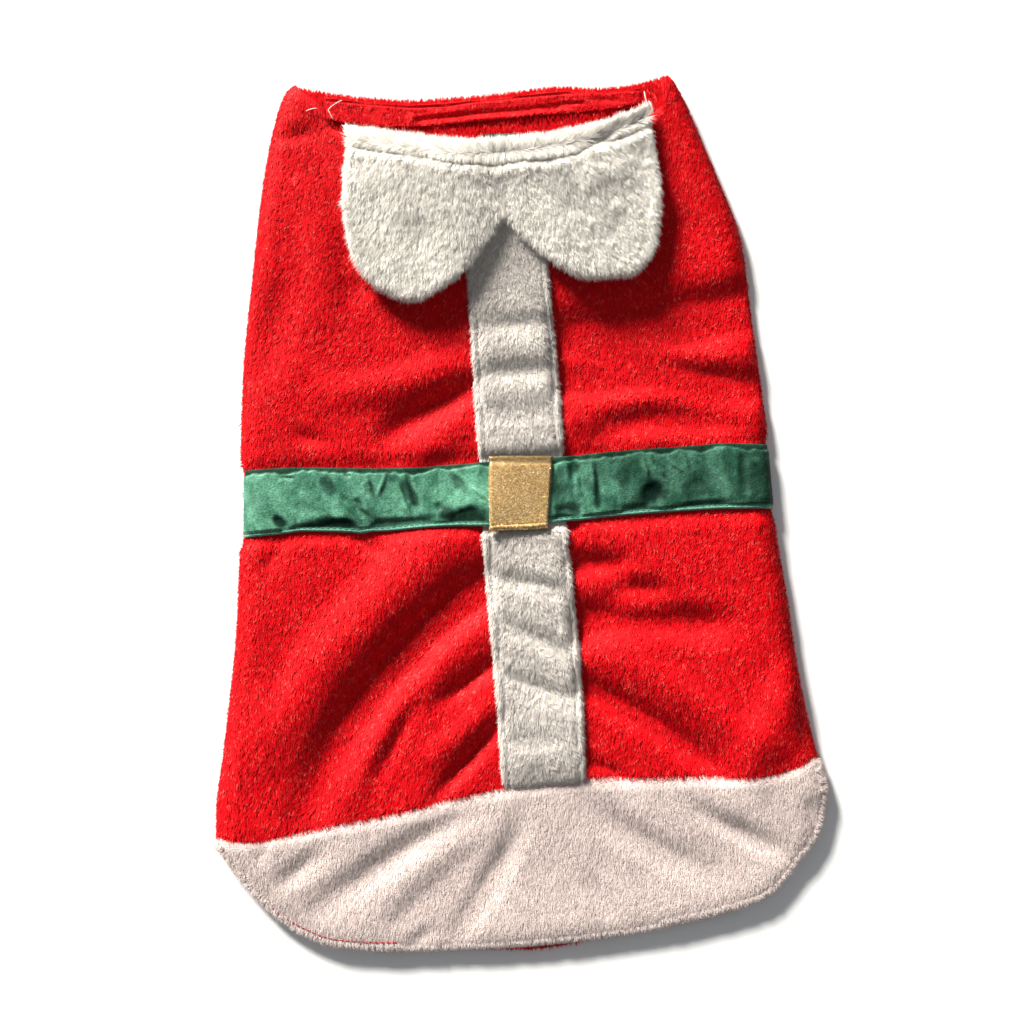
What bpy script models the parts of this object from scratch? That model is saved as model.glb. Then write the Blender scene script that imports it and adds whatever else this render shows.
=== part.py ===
"""Cat's Christmas costume, laid flat with its decorated back upward.

A tube of plush cloth: a back panel with a curved hem band, a placket strip, a belt with a patch for
a buckle and a two-lobed collar, lying on a flat belly panel that has the two leg holes.
Tables are in millimetres and meshes in metres. The origin is in the middle of the underside,
+Y points to the neck and +Z up.
"""

import math
from collections import namedtuple

import bpy
import numpy as np

MM = 0.001
COLLECTION = "cat christmas costume"

# Thickness of each cloth, its pile included
PLUSH = 2.4
BELLY = 1.8
STRIP = 2.0
STRIP_PRESSED = 1.2
SATIN = 1.0
LAME = 1.0
COLLAR = 3.6
LABEL = 0.6
GAP = 0.3

# The back panel's inner face stands this far above the belly panel, and turns down at the rim
BASE = BELLY + GAP
LOFT = 3.5
RIM = 7.0
RIM_ANGLES = (0, 32, 60)
HEM_FLATTENING = 2.0
HEM_FADE = 42.0

# The neck stands a little open, and the belt draws the cloth in
NECK_RISE = 3.2
NECK_CENTRE = 4.0
CINCH_DEPTH = 1.0
CINCH_SIDE = 2.7
CINCH_FADE = 6.0

# Rows and columns of the back's grid
HEM_ROWS = 8
LOWER_ROWS = 16
BELT_ROWS = 4
UPPER_ROWS = 14
LEFT_COLUMNS = 13
RIGHT_COLUMNS = 11
PATCH_COLUMNS = 4
STEP_BESIDE_STRIP = 1.6
HEM_ROW_CROWDING = 1.5

# Side outline of the whole garment: x of the left and the right edge at height y
Side = namedtuple("Side", "y left right")
SIDES = (
    Side(-127, -117.0, 117.2),
    Side(-112, -116.4, 116.2),
    Side(-95, -113.6, 112.8),
    Side(-70, -109.6, 110.2),
    Side(-45, -106.2, 107.4),
    Side(-14, -103.8, 103.9),
    Side(22, -102.0, 103.4),
    Side(60, -99.2, 101.5),
    Side(95, -94.3, 99.4),
    Side(120, -90.7, 92.6),
    Side(140, -87.0, 85.8),
    Side(155, -83.2, 80.6),
    Side(165, -79.6, 76.2),
    Side(170, -76.0, 73.6),
)

# Lines that cross the back, as y at the share s of its width from left to right
Across = namedtuple("Across", "s seam belt_low belt_high neck")
ACROSS = (
    Across(0.00, -124.3, -9.6, 16.6, 169.9),
    Across(0.05, -126.6, -9.2, 16.6, 165.0),
    Across(0.10, -125.2, -8.6, 16.4, 159.8),
    Across(0.14, -123.6, -9.0, 15.8, 150.0),
    Across(0.20, -121.4, -9.8, 15.0, 147.2),
    Across(0.30, -118.2, -10.3, 14.2, 145.4),
    Across(0.40, -113.8, -10.1, 14.3, 143.0),
    Across(0.50, -110.3, -10.6, 14.2, 141.2),
    Across(0.60, -108.9, -10.3, 14.9, 141.4),
    Across(0.70, -110.0, -9.2, 16.0, 143.2),
    Across(0.80, -110.9, -8.6, 16.6, 145.4),
    Across(0.90, -112.2, -8.5, 16.7, 148.8),
    Across(0.95, -110.6, -8.8, 16.3, 153.0),
    Across(0.97, -109.2, -9.0, 16.1, 161.0),
    Across(1.00, -105.8, -9.3, 15.9, 166.2),
)

# Lower edge of the hem band, as the point at the share s from left to right
HemPoint = namedtuple("HemPoint", "s x y")
HEM_EDGE = (
    HemPoint(0.00, -117.0, -127.2),
    HemPoint(0.05, -108.5, -139.0),
    HemPoint(0.10, -98.5, -150.8),
    HemPoint(0.15, -86.5, -160.8),
    HemPoint(0.20, -72.0, -167.0),
    HemPoint(0.30, -46.0, -169.6),
    HemPoint(0.45, -8.0, -170.1),
    HemPoint(0.60, 27.0, -168.7),
    HemPoint(0.80, 75.0, -162.0),
    HemPoint(0.86, 91.0, -157.2),
    HemPoint(0.91, 103.5, -145.5),
    HemPoint(0.96, 113.0, -133.4),
    HemPoint(1.00, 117.2, -118.5),
)

# Edges of the placket strip and of the buckle patch
StripEdge = namedtuple("StripEdge", "y left right")
STRIP_EDGES = (
    StripEdge(-110, -6.2, 24.9),
    StripEdge(-75, -6.7, 25.2),
    StripEdge(-45, -7.7, 24.6),
    StripEdge(-12, -8.8, 23.2),
    StripEdge(15, -8.7, 23.5),
    StripEdge(50, -9.0, 23.0),
    StripEdge(90, -9.4, 21.6),
    StripEdge(145, -9.8, 20.6),
)
PATCH_LEFT = -6.1
PATCH_RIGHT = 17.6
PATCH_LEFT_LEAN = 0.078
PATCH_RIGHT_LEAN = 0.113
PATCH_ABOVE_BELT = 1.2
PATCH_BELOW_BELT = 1.9

# Folds of the back: a line from one end to the other, half a width, and a height or a depth
Fold = namedtuple("Fold", "x1 y1 x2 y2 bow width height")
FOLDS = (
    Fold(-34, -8, -112, -106, -1, 20, 2.1),
    Fold(-5, -18, -98, -132, -3, 13, -2.6),
    Fold(-20, -48, -88, -132, -2, 8, 1.4),
    Fold(-8, -36, -30, -52, 0, 8, 0.9),
    Fold(-7, -53, -50, -104, 4, 8, -1.6),
    Fold(-8, -68, -40, -108, 3, 7, 1.0),
    Fold(-6, -84, -30, -108, 0, 7, -1.3),
    Fold(-12, 56, -78, 46, 3, 9, 1.1),
    Fold(-10, 45, -68, 35, 2, 8, -1.3),
    Fold(-8, 35, -58, 24, 2, 8, 1.2),
    Fold(-72, 132, -66, 68, 3, 11, 0.8),
    Fold(-60, 130, -55, 72, 2, 9, -0.6),
    Fold(26, 52, 82, 49, 3, 10, 0.9),
    Fold(24, 41, 76, 38, 3, 9, -1.0),
    Fold(30, -56, 92, -98, 3, 10, 1.5),
    Fold(24, -69, 82, -112, 3, 9, -2.1),
    Fold(25, -84, 62, -108, 0, 8, -1.0),
    Fold(28, -24, 70, -46, 0, 9, 1.0),
    Fold(23, -38, 64, -58, 0, 8, -1.3),
    Fold(-4, -30, 22, -38, 0, 8, 0.8),
    Fold(-4, -42, 22, -54, 0, 8, -1.0),
    Fold(-4, -64, 22, -80, 0, 8, -1.1),
    Fold(-16, -111, -80, -149, -3, 10, -1.8),
    Fold(-20, -122, -66, -160, -3, 9, 1.0),
    Fold(2, -120, -38, -166, 4, 9, -1.9),
    Fold(22, -114, 70, -146, -3, 10, -1.6),
    Fold(64, -121, 98, -140, 0, 8, -1.3),
)
FOLD_END = 0.15

# Collar: a point of its neck edge and the point of its lower edge that it runs to
CollarRay = namedtuple("CollarRay", "u top_x top_y low_x low_y")
LEFT_LOBE = (
    CollarRay(0.0, -55.6, 150.3, -57.2, 122.0),
    CollarRay(0.2, -43.5, 148.6, -54.2, 99.5),
    CollarRay(0.4, -31.5, 146.8, -44.5, 84.3),
    CollarRay(0.6, -19.0, 145.0, -29.6, 78.2),
    CollarRay(0.8, -6.5, 143.0, -13.0, 87.6),
    CollarRay(1.0, 5.6, 142.2, 5.9, 111.1),
)
RIGHT_LOBE = (
    CollarRay(0.0, 5.6, 142.2, 5.9, 111.1),
    CollarRay(0.2, 18.0, 143.1, 21.5, 94.2),
    CollarRay(0.4, 30.5, 144.5, 37.5, 84.6),
    CollarRay(0.6, 42.5, 146.2, 53.0, 85.0),
    CollarRay(0.8, 54.5, 148.2, 65.2, 98.0),
    CollarRay(1.0, 66.8, 152.6, 67.6, 121.0),
)
LOBE_COLUMNS = 15
COLLAR_ROWS = (0.0, 0.03, 0.09, 0.16, 0.22, 0.3, 0.42, 0.56, 0.7, 0.82, 0.91, 0.97, 1.0)
COLLAR_CLEARANCE = 0.7
COLLAR_EDGE = 5.0
COLLAR_EDGE_SHARE = 0.45
COLLAR_LIFT = 2.2
NOTCH_X = 5.9
NOTCH_HALF_WIDTH = 25.0
CREASE_BELOW_EDGE = 10.5
CREASE_WIDTH = 4.0
CREASE_DEPTH = 1.2
STRIP_BUMP_START = 1.5
STRIP_BUMP_END = 9.0
STRIP_PRESSED_FROM = 112.0
STRIP_PRESSED_TO = 118.0

# Belly panel: neck edge, inset behind the back panel's rim, and the stretch that peeps out below
NeckPoint = namedtuple("NeckPoint", "x y facing_y")
BELLY_NECK = (
    NeckPoint(-76.0, 169.5, 160.0),
    NeckPoint(-58.0, 165.5, 155.0),
    NeckPoint(-46.0, 163.3, 152.6),
    NeckPoint(-27.0, 161.3, 150.9),
    NeckPoint(0.0, 161.8, 151.6),
    NeckPoint(30.0, 163.6, 153.2),
    NeckPoint(46.0, 162.2, 153.8),
    NeckPoint(58.0, 162.7, 155.4),
    NeckPoint(73.6, 165.8, 160.0),
)
BELLY_INSET = 1.0
PEEP_X = 4.0
PEEP_HALF_WIDTH = 30.0
PEEP_BELOW = 2.1
BELLY_STEP = 5.0
BELLY_SIDE_TOP = 161.0
BELLY_SIDE_LOW = -124.0
BELLY_HEM_POINTS = 60

LegHole = namedtuple("LegHole", "x y half_width half_length")
LEG_HOLES = (LegHole(-40, 92, 23, 27), LegHole(40, 92, 23, 27))
LEG_HOLE_POINTS = 32

# Neck facing: distance from the neck edge, ends, and its height over its width
FACING_FROM_EDGE = 1.8
FACING_LEFT = -62.0
FACING_RIGHT = 63.0
FACING_COLUMNS = 26
FacingRow = namedtuple("FacingRow", "share height")
FACING_ROWS = (
    FacingRow(0.0, 0.7),
    FacingRow(0.18, 1.2),
    FacingRow(0.55, 1.0),
    FacingRow(0.82, 1.5),
    FacingRow(1.0, 0.8),
)

# Neck label, sewn inside the back's neck edge and just showing over it
LABEL_X = (-1.0, 13.6)
LABEL_Y = (134.0, 144.8)
LABEL_COLUMNS = 5
LABEL_ROWS = 4
LABEL_CLEARANCE = 0.35

Finish = namedtuple("Finish", "color roughness metallic")
FINISHES = {
    "red_plush": Finish((0.62, 0.012, 0.02), 0.9, 0.0),
    "white_plush": Finish((0.82, 0.79, 0.74), 0.9, 0.0),
    "green_satin": Finish((0.03, 0.16, 0.09), 0.4, 0.0),
    "gold_lame": Finish((0.58, 0.37, 0.13), 0.35, 0.7),
    "black_tape": Finish((0.015, 0.016, 0.016), 0.7, 0.0),
}


def column(table, name):
    """One named column of a table, as an array."""
    return np.array([getattr(row, name) for row in table], dtype=float)


def smooth_curve(at, knots, values):
    """Values on the monotone cubic curve through the knots, which never overshoots them."""
    steps = np.diff(knots)
    slopes = np.diff(values) / steps
    tangents = np.zeros(len(knots))
    same_way = slopes[:-1] * slopes[1:] > 0
    mean = 2 * slopes[:-1] * slopes[1:] / np.where(same_way, slopes[:-1] + slopes[1:], 1)
    tangents[1:-1] = np.where(same_way, mean, 0)
    tangents[0] = slopes[0]
    tangents[-1] = slopes[-1]
    at = np.clip(np.asarray(at, dtype=float), knots[0], knots[-1])
    i = np.clip(np.searchsorted(knots, at) - 1, 0, len(steps) - 1)
    t = (at - knots[i]) / steps[i]
    rise = values[i + 1] - values[i]
    ease = t * t * (3 - 2 * t)
    bend_in = t * (1 - t) ** 2 * steps[i] * tangents[i]
    bend_out = -t * t * (1 - t) * steps[i] * tangents[i + 1]
    return values[i] + rise * ease + bend_in + bend_out


def through(table, key, name, at):
    """The named column of a table as a smooth function of its key column."""
    return smooth_curve(at, column(table, key), column(table, name))


def ease(x, low, high):
    """0 below low, 1 above high, and a soft step between them."""
    t = np.clip((x - low) / (high - low), 0, 1)
    return t * t * (3 - 2 * t)


def bell(x):
    """1 at the middle, 0 from a distance of 1 on, and soft at both."""
    return np.cos(np.clip(np.abs(x), 0, 1) * math.pi / 2) ** 2


def near_belt(y):
    """1 under the belt, fading to 0 a little way above and below it."""
    low = column(ACROSS, "belt_low").min()
    high = column(ACROSS, "belt_high").max()
    return ease(y, low - CINCH_FADE, low) * (1 - ease(y, high, high + CINCH_FADE))


def left_edge(y):
    """Left edge of the back panel's inner face."""
    return through(SIDES, "y", "left", y) + PLUSH + CINCH_SIDE * near_belt(y)


def right_edge(y):
    """Right edge of the back panel's inner face."""
    return through(SIDES, "y", "right", y) - PLUSH - CINCH_SIDE * near_belt(y)


def fold_height(fold, x, y):
    """Height that one fold adds: a soft bell across its bowed line, tapered to its ends."""
    along = np.array((fold.x2 - fold.x1, fold.y2 - fold.y1), dtype=float)
    length = np.linalg.norm(along)
    along /= length
    dx = x - fold.x1
    dy = y - fold.y1
    share = (dx * along[0] + dy * along[1]) / length
    aside = dy * along[0] - dx * along[1]
    inside = np.clip(share, 0, 1)
    aside = aside - 4 * fold.bow * inside * (1 - inside)
    beyond = (share - inside) * length
    distance = np.hypot(aside, beyond) / fold.width
    taper = FOLD_END + (1 - FOLD_END) * np.sin(math.pi * inside)
    return fold.height * bell(distance) * taper


def crown(x, y):
    """Height of the back panel's inner face, where no rim turns it down."""
    opening = (1 - ease(np.abs(y - 150), 20, 75)) * (1 - ease(np.abs(x - NECK_CENTRE), 35, 72))
    z = BASE + LOFT + NECK_RISE * opening - CINCH_DEPTH * near_belt(y)
    seam = np.interp(x, (-116, 0, 114), (-124, -110, -108))
    z = z - HEM_FLATTENING * ease(seam - y, 0, HEM_FADE)
    for fold in FOLDS:
        z = z + fold_height(fold, x, y)
    return z


def distance_to_line(x, y, line):
    """Distance in plan from each point to the nearest part of a line of points."""
    nearest = np.full(np.shape(x), np.inf)
    for (ax, ay), (bx, by) in zip(line[:-1], line[1:]):
        run = (bx - ax, by - ay)
        square = run[0] ** 2 + run[1] ** 2
        share = np.clip(((x - ax) * run[0] + (y - ay) * run[1]) / square, 0, 1)
        nearest = np.minimum(nearest, np.hypot(x - ax - share * run[0], y - ay - share * run[1]))
    return nearest


def rim_factor(distance, width):
    """Quarter of an ellipse: 0 on the outline, 1 from the rim's width inward."""
    t = 1 - np.clip(distance / width, 0, 1)
    return np.sqrt(1 - t * t)


def column_shares(y):
    """Shares of the width at which the back's columns cross height y."""
    left = float(left_edge(y))
    right = float(right_edge(y))
    strip_left = float(through(STRIP_EDGES, "y", "left", y))
    strip_right = float(through(STRIP_EDGES, "y", "right", y))
    patch_y = np.clip(y, -14, 17)
    patch_left = PATCH_LEFT + PATCH_LEFT_LEAN * patch_y
    patch_right = PATCH_RIGHT + PATCH_RIGHT_LEAN * patch_y
    rim = [RIM * (1 - math.cos(math.radians(angle))) for angle in RIM_ANGLES]
    places = [left + step for step in rim]
    beside = (strip_left - STEP_BESIDE_STRIP, strip_right + STEP_BESIDE_STRIP)
    places += list(np.linspace(left + RIM, beside[0], LEFT_COLUMNS + 1))
    places.append(strip_left)
    places += list(np.linspace(patch_left, patch_right, PATCH_COLUMNS + 1))
    places.append(strip_right)
    places += list(np.linspace(beside[1], right - RIM, RIGHT_COLUMNS + 1))
    places += [right - step for step in reversed(rim)]
    return (np.array(places) - left) / (right - left)


STRIP_FIRST = len(RIM_ANGLES) + LEFT_COLUMNS + 1
STRIP_LAST = STRIP_FIRST + PATCH_COLUMNS + 2
SEAM_ROW = HEM_ROWS
PATCH_LOW_ROW = SEAM_ROW + LOWER_ROWS
BELT_LOW_ROW = PATCH_LOW_ROW + 1
BELT_HIGH_ROW = BELT_LOW_ROW + BELT_ROWS
PATCH_HIGH_ROW = BELT_HIGH_ROW + 1
NECK_ROW = PATCH_HIGH_ROW + UPPER_ROWS


def back_rows():
    """Heights y of the back's rows above the hem seam, as functions of the share s."""
    def line(name):
        return lambda s: through(ACROSS, "s", name, s)

    def moved(curve, step):
        return lambda s: curve(s) + step

    def between(low, high, t):
        return lambda s: low(s) * (1 - t) + high(s) * t

    patch_low = moved(line("belt_low"), -PATCH_BELOW_BELT)
    patch_high = moved(line("belt_high"), PATCH_ABOVE_BELT)
    rows = [between(line("seam"), patch_low, i / LOWER_ROWS) for i in range(LOWER_ROWS)]
    rows.append(patch_low)
    rows += [between(line("belt_low"), line("belt_high"), i / BELT_ROWS) for i in range(BELT_ROWS)]
    rows.append(line("belt_high"))
    rows += [between(patch_high, line("neck"), i / UPPER_ROWS) for i in range(UPPER_ROWS + 1)]
    return rows


def hem_edge_points(shares):
    """Lower edge of the hem band's inner face, moved in from the outline by the wall."""
    x = through(HEM_EDGE, "s", "x", shares)
    y = through(HEM_EDGE, "s", "y", shares)
    run = np.stack((np.gradient(x), np.gradient(y)), axis=-1)
    run /= np.linalg.norm(run, axis=-1, keepdims=True)
    return x - run[:, 1] * PLUSH, y + run[:, 0] * PLUSH


def back_plan():
    """Plan of the back's grid, from the hem's edge to the neck: x and y by row and column."""
    rows = back_rows()
    xs = []
    ys = []
    for row in rows:
        shares = column_shares(float(row(0.5)))
        y = row(shares)
        left = left_edge(y)
        xs.append(left + (right_edge(y) - left) * shares)
        ys.append(y)
    edge_x, edge_y = hem_edge_points(column_shares(float(rows[0](0.5))))
    hem = [(i / HEM_ROWS) ** HEM_ROW_CROWDING for i in range(HEM_ROWS)]
    hem_x = [edge_x + (xs[0] - edge_x) * t for t in hem]
    hem_y = [edge_y + (ys[0] - edge_y) * t for t in hem]
    return np.array(hem_x + xs), np.array(hem_y + ys)


def back_grid():
    """Inner face of the whole back with its outward directions, both by row and column."""
    x, y = back_plan()
    rows, columns = x.shape
    plan = np.stack((x, y), axis=-1)
    rim = np.concatenate((plan[::-1, 0], plan[0, 1:], plan[1:, -1]))
    z = BASE + (crown(x, y) - BASE) * rim_factor(distance_to_line(x, y, rim), RIM)
    points = np.stack((x, y, z), axis=-1)
    out = np.cross(np.gradient(points, axis=1), np.gradient(points, axis=0))
    run = np.gradient(rim, axis=0)
    level = np.stack((run[:, 1], -run[:, 0], np.zeros(len(run))), axis=-1)
    out[::-1, 0] = level[:rows]
    out[0, 1:] = level[rows:rows + columns - 1]
    out[1:, -1] = level[rows + columns - 1:]
    return points, out / np.linalg.norm(out, axis=-1, keepdims=True)


def new_object(name, data, finish):
    """Put a mesh or a curve into the costume's collection, in its cloth's colour."""
    material = bpy.data.materials.get(finish) or bpy.data.materials.new(finish)
    material.use_nodes = True
    shader = material.node_tree.nodes["Principled BSDF"]
    look = FINISHES[finish]
    shader.inputs["Base Color"].default_value = (*look.color, 1)
    shader.inputs["Roughness"].default_value = look.roughness
    shader.inputs["Metallic"].default_value = look.metallic
    data.materials.append(material)
    piece = bpy.data.objects.new(name, data)
    bpy.data.collections[COLLECTION].objects.link(piece)
    return piece


def wall(name, inner, outer, finish):
    """Closed cloth wall lofted between two unlike faces that share one grid.

    Each square of the grid is split along the same diagonal, so that cloths laid on each other
    keep an even gap.
    """
    rows, columns = inner.shape[:2]
    index = np.arange(rows * columns).reshape(rows, columns)
    low_left, low_right = index[:-1, :-1].ravel(), index[:-1, 1:].ravel()
    high_left, high_right = index[1:, :-1].ravel(), index[1:, 1:].ravel()
    face = np.concatenate((
        np.stack((low_left, low_right, high_right), axis=-1),
        np.stack((low_left, high_right, high_left), axis=-1),
    ))
    ring = np.concatenate((index[0, :-1], index[:-1, -1], index[-1, :0:-1], index[:0:-1, 0]))
    after = np.roll(ring, -1)
    top = rows * columns
    side = np.stack((ring, after, after + top, ring + top), axis=-1)
    faces = face[:, ::-1].tolist() + (face + top).tolist() + side.tolist()
    points = np.concatenate((inner.reshape(-1, 3), outer.reshape(-1, 3))) * MM
    mesh = bpy.data.meshes.new(name)
    mesh.from_pydata(points.tolist(), [], faces)
    mesh.shade_smooth()
    return new_object(name, mesh, finish)


def make_back(points, out):
    """Back panel and hem band: one grid, parted at the hem seam by the seam's gap."""
    half = np.array((0, GAP / 2, 0))
    hem = points[:SEAM_ROW + 1].copy()
    hem[-1] -= half
    wall("hem_band", hem, hem + PLUSH * out[:SEAM_ROW + 1], "white_plush")
    panel = points[SEAM_ROW:].copy()
    panel[0] += half
    wall("back_panel", panel, panel + PLUSH * out[SEAM_ROW:], "red_plush")


def strip_thickness(y):
    """Thickness of the placket strip, pressed thin under the belt and under the collar."""
    pressed = np.maximum(near_belt(y), ease(y, STRIP_PRESSED_FROM, STRIP_PRESSED_TO))
    return STRIP + (STRIP_PRESSED - STRIP) * pressed


def make_strip(points, out):
    """Placket strip down the back, from the hem seam to the neck."""
    part = (slice(SEAM_ROW, NECK_ROW), slice(STRIP_FIRST, STRIP_LAST + 1))
    inner = points[part] + (PLUSH + GAP) * out[part]
    thickness = strip_thickness(points[part][..., 1:2])
    inner[0, :, 1] += GAP / 2
    wall("placket_strip", inner, inner + thickness * out[part], "white_plush")


def make_belt(points, out):
    """Belt from side seam to side seam, stepping up over the strip."""
    part = slice(BELT_LOW_ROW, BELT_HIGH_ROW + 1)
    distance = np.full(points[part].shape[:2] + (1,), PLUSH + GAP)
    distance[:, STRIP_FIRST:STRIP_LAST + 1] += STRIP_PRESSED + GAP
    inner = points[part] + distance * out[part]
    wall("belt", inner, inner + SATIN * out[part], "green_satin")


def make_patch(points, out):
    """Patch on the belt in place of a buckle, a little taller than the belt."""
    part = (slice(PATCH_LOW_ROW, PATCH_HIGH_ROW + 1), slice(STRIP_FIRST + 1, STRIP_LAST))
    inner = points[part] + (PLUSH + STRIP_PRESSED + SATIN + 3 * GAP) * out[part]
    wall("buckle_patch", inner, inner + LAME * out[part], "gold_lame")


def collar_plan():
    """Plan of the collar: rays from the neck edge to the edge of the left and the right lobe."""
    t = (1 - np.cos(np.linspace(0, math.pi, LOBE_COLUMNS + 1))) / 2
    share = np.array(COLLAR_ROWS)[:, None]
    xs = []
    ys = []
    for lobe, first in ((LEFT_LOBE, 0), (RIGHT_LOBE, 1)):
        ray = {name: through(lobe, "u", name, t[first:]) for name in CollarRay._fields[1:]}
        xs.append(ray["top_x"] + (ray["low_x"] - ray["top_x"]) * share)
        ys.append(ray["top_y"] + (ray["low_y"] - ray["top_y"]) * share)
    return np.concatenate(xs, axis=1)[::-1], np.concatenate(ys, axis=1)[::-1]


def make_collar():
    """Collar of doubled plush, creased below its neck edge, its lobes lifting off the back."""
    x, y = collar_plan()
    neck = list(zip(x[-1], y[-1]))
    edge = list(zip(x[:, 0], y[:, 0]))[::-1] + list(zip(x[0, 1:], y[0, 1:]))
    edge += list(zip(x[1:, -1], y[1:, -1])) + neck[::-1][1:]
    strip_left = through(STRIP_EDGES, "y", "left", y)
    strip_right = through(STRIP_EDGES, "y", "right", y)
    beside = np.maximum(np.maximum(strip_left - x, x - strip_right), 0)
    over_strip = (strip_thickness(y) + GAP) * (1 - ease(beside, STRIP_BUMP_START, STRIP_BUMP_END))
    away_from_notch = 1 - bell((x - NOTCH_X) / NOTCH_HALF_WIDTH)
    lift = COLLAR_LIFT * (1 - np.array(COLLAR_ROWS)[:, None]) ** 2 * away_from_notch
    low = crown(x, y) + PLUSH + COLLAR_CLEARANCE + over_strip + lift
    swell = COLLAR_EDGE_SHARE + (1 - COLLAR_EDGE_SHARE) * rim_factor(
        distance_to_line(x, y, edge), COLLAR_EDGE)
    from_neck = distance_to_line(x, y, neck)
    crease = CREASE_DEPTH * bell((from_neck - CREASE_BELOW_EDGE) / CREASE_WIDTH)
    high = low + COLLAR * swell - crease
    wall("collar", np.stack((x, y, low), axis=-1), np.stack((x, y, high), axis=-1), "white_plush")


def belly_outline():
    """Outline of the belly panel, a little inside the back's rim, as x and y points."""
    neck_x = np.arange(BELLY_NECK[0].x, BELLY_NECK[-1].x + 1, BELLY_STEP)
    neck_y = through(BELLY_NECK, "x", "y", neck_x)
    side_y = np.arange(BELLY_SIDE_TOP, BELLY_SIDE_LOW, -BELLY_STEP)
    right_x = through(SIDES, "y", "right", side_y) - BELLY_INSET
    left_x = through(SIDES, "y", "left", side_y) + BELLY_INSET
    shares = np.linspace(0, 1, BELLY_HEM_POINTS)
    hem_x = through(HEM_EDGE, "s", "x", shares)
    hem_y = through(HEM_EDGE, "s", "y", shares)
    run = np.stack((np.gradient(hem_x), np.gradient(hem_y)), axis=-1)
    run /= np.linalg.norm(run, axis=-1, keepdims=True)
    peep = PEEP_BELOW * bell((hem_x - PEEP_X) / PEEP_HALF_WIDTH)
    hem_x = hem_x - run[:, 1] * BELLY_INSET
    hem_y = hem_y + run[:, 0] * BELLY_INSET - peep
    x = np.concatenate((neck_x, right_x, hem_x[::-1], left_x[::-1]))
    y = np.concatenate((neck_y, side_y, hem_y[::-1], side_y[::-1]))
    return x, y


def make_belly():
    """Flat belly panel with its two leg holes, cut as one outline and given its thickness."""
    curve = bpy.data.curves.new("belly_panel", "CURVE")
    curve.dimensions = "2D"
    curve.fill_mode = "BOTH"
    curve.extrude = BELLY / 2 * MM
    turn = np.linspace(0, 2 * math.pi, LEG_HOLE_POINTS, endpoint=False)
    loops = [belly_outline()]
    for hole in LEG_HOLES:
        loops.append((hole.x + hole.half_width * np.cos(turn), hole.y + hole.half_length * np.sin(turn)))
    for x, y in loops:
        spline = curve.splines.new("POLY")
        spline.points.add(len(x) - 1)
        spline.use_cyclic_u = True
        for point, px, py in zip(spline.points, x, y):
            point.co = (px * MM, py * MM, 0, 1)
    piece = new_object("belly_panel", curve, "red_plush")
    piece.location.z = BELLY / 2 * MM


def make_facing():
    """Turned-in neck edge of the belly panel, a soft roll that shows inside the neck."""
    x = np.linspace(FACING_LEFT, FACING_RIGHT, FACING_COLUMNS + 1)[None, :]
    share = column(FACING_ROWS, "share")[::-1, None]
    height = column(FACING_ROWS, "height")[::-1, None]
    top = through(BELLY_NECK, "x", "y", x) - FACING_FROM_EDGE
    y = top + (through(BELLY_NECK, "x", "facing_y", x) - top) * share
    x = x + np.zeros_like(y)
    low = np.full_like(y, BASE)
    wall("neck_facing", np.stack((x, y, low), axis=-1), np.stack((x, y, low + height), axis=-1),
         "red_plush")


def make_label():
    """Bare label sewn inside the middle of the back's neck edge."""
    x, y = np.meshgrid(np.linspace(*LABEL_X, LABEL_COLUMNS), np.linspace(*LABEL_Y, LABEL_ROWS))
    high = crown(x, y) - LABEL_CLEARANCE
    wall("neck_label", np.stack((x, y, high - LABEL), axis=-1), np.stack((x, y, high), axis=-1),
         "black_tape")


def main():
    """Clear the file and sew the costume, from the belly panel up."""
    for old in list(bpy.data.objects):
        bpy.data.objects.remove(old)
    collection = bpy.data.collections.new(COLLECTION)
    bpy.context.scene.collection.children.link(collection)
    make_belly()
    make_facing()
    points, out = back_grid()
    make_back(points, out)
    make_label()
    make_strip(points, out)
    make_belt(points, out)
    make_patch(points, out)
    make_collar()


main()
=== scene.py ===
"""Cat's Christmas costume, dressed: the cloths over their solids, with pile, seams and threads.

The garment lies flat with its decorated back upward, +Y to the neck and +Z up. Tables and sizes
are in millimetres and repeat the ones its solids were made from; meshes are in metres.
"""

from __future__ import annotations

import logging
import math
from dataclasses import dataclass, field
from enum import Enum
from typing import Mapping, NamedTuple, Sequence

import bpy
import numpy as np
from mathutils import Matrix, Vector

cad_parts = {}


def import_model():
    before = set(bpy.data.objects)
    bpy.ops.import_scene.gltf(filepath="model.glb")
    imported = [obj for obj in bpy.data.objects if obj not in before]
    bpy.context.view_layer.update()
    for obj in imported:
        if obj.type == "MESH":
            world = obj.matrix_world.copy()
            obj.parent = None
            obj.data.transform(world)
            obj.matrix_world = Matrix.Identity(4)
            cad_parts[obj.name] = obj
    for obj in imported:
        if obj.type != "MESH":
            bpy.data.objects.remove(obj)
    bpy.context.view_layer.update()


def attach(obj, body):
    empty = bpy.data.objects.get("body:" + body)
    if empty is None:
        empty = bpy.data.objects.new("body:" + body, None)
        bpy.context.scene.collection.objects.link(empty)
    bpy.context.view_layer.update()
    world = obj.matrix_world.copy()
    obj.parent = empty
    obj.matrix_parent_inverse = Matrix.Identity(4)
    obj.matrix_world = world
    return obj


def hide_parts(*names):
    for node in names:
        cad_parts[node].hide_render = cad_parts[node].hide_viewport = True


log = logging.getLogger("costume")

Array = np.ndarray
Colour = tuple[float, float, float]
MM = 0.001
BODY = "root"

# Thickness of each cloth, its pile included, and the gap between cloths
PLUSH = 2.4
BELLY = 1.8
STRIP = 2.0
STRIP_PRESSED = 1.2
SATIN = 1.0
LABEL = 0.6
GAP = 0.3

# Backing cloth under the pile
BACKING = 1.5

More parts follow.
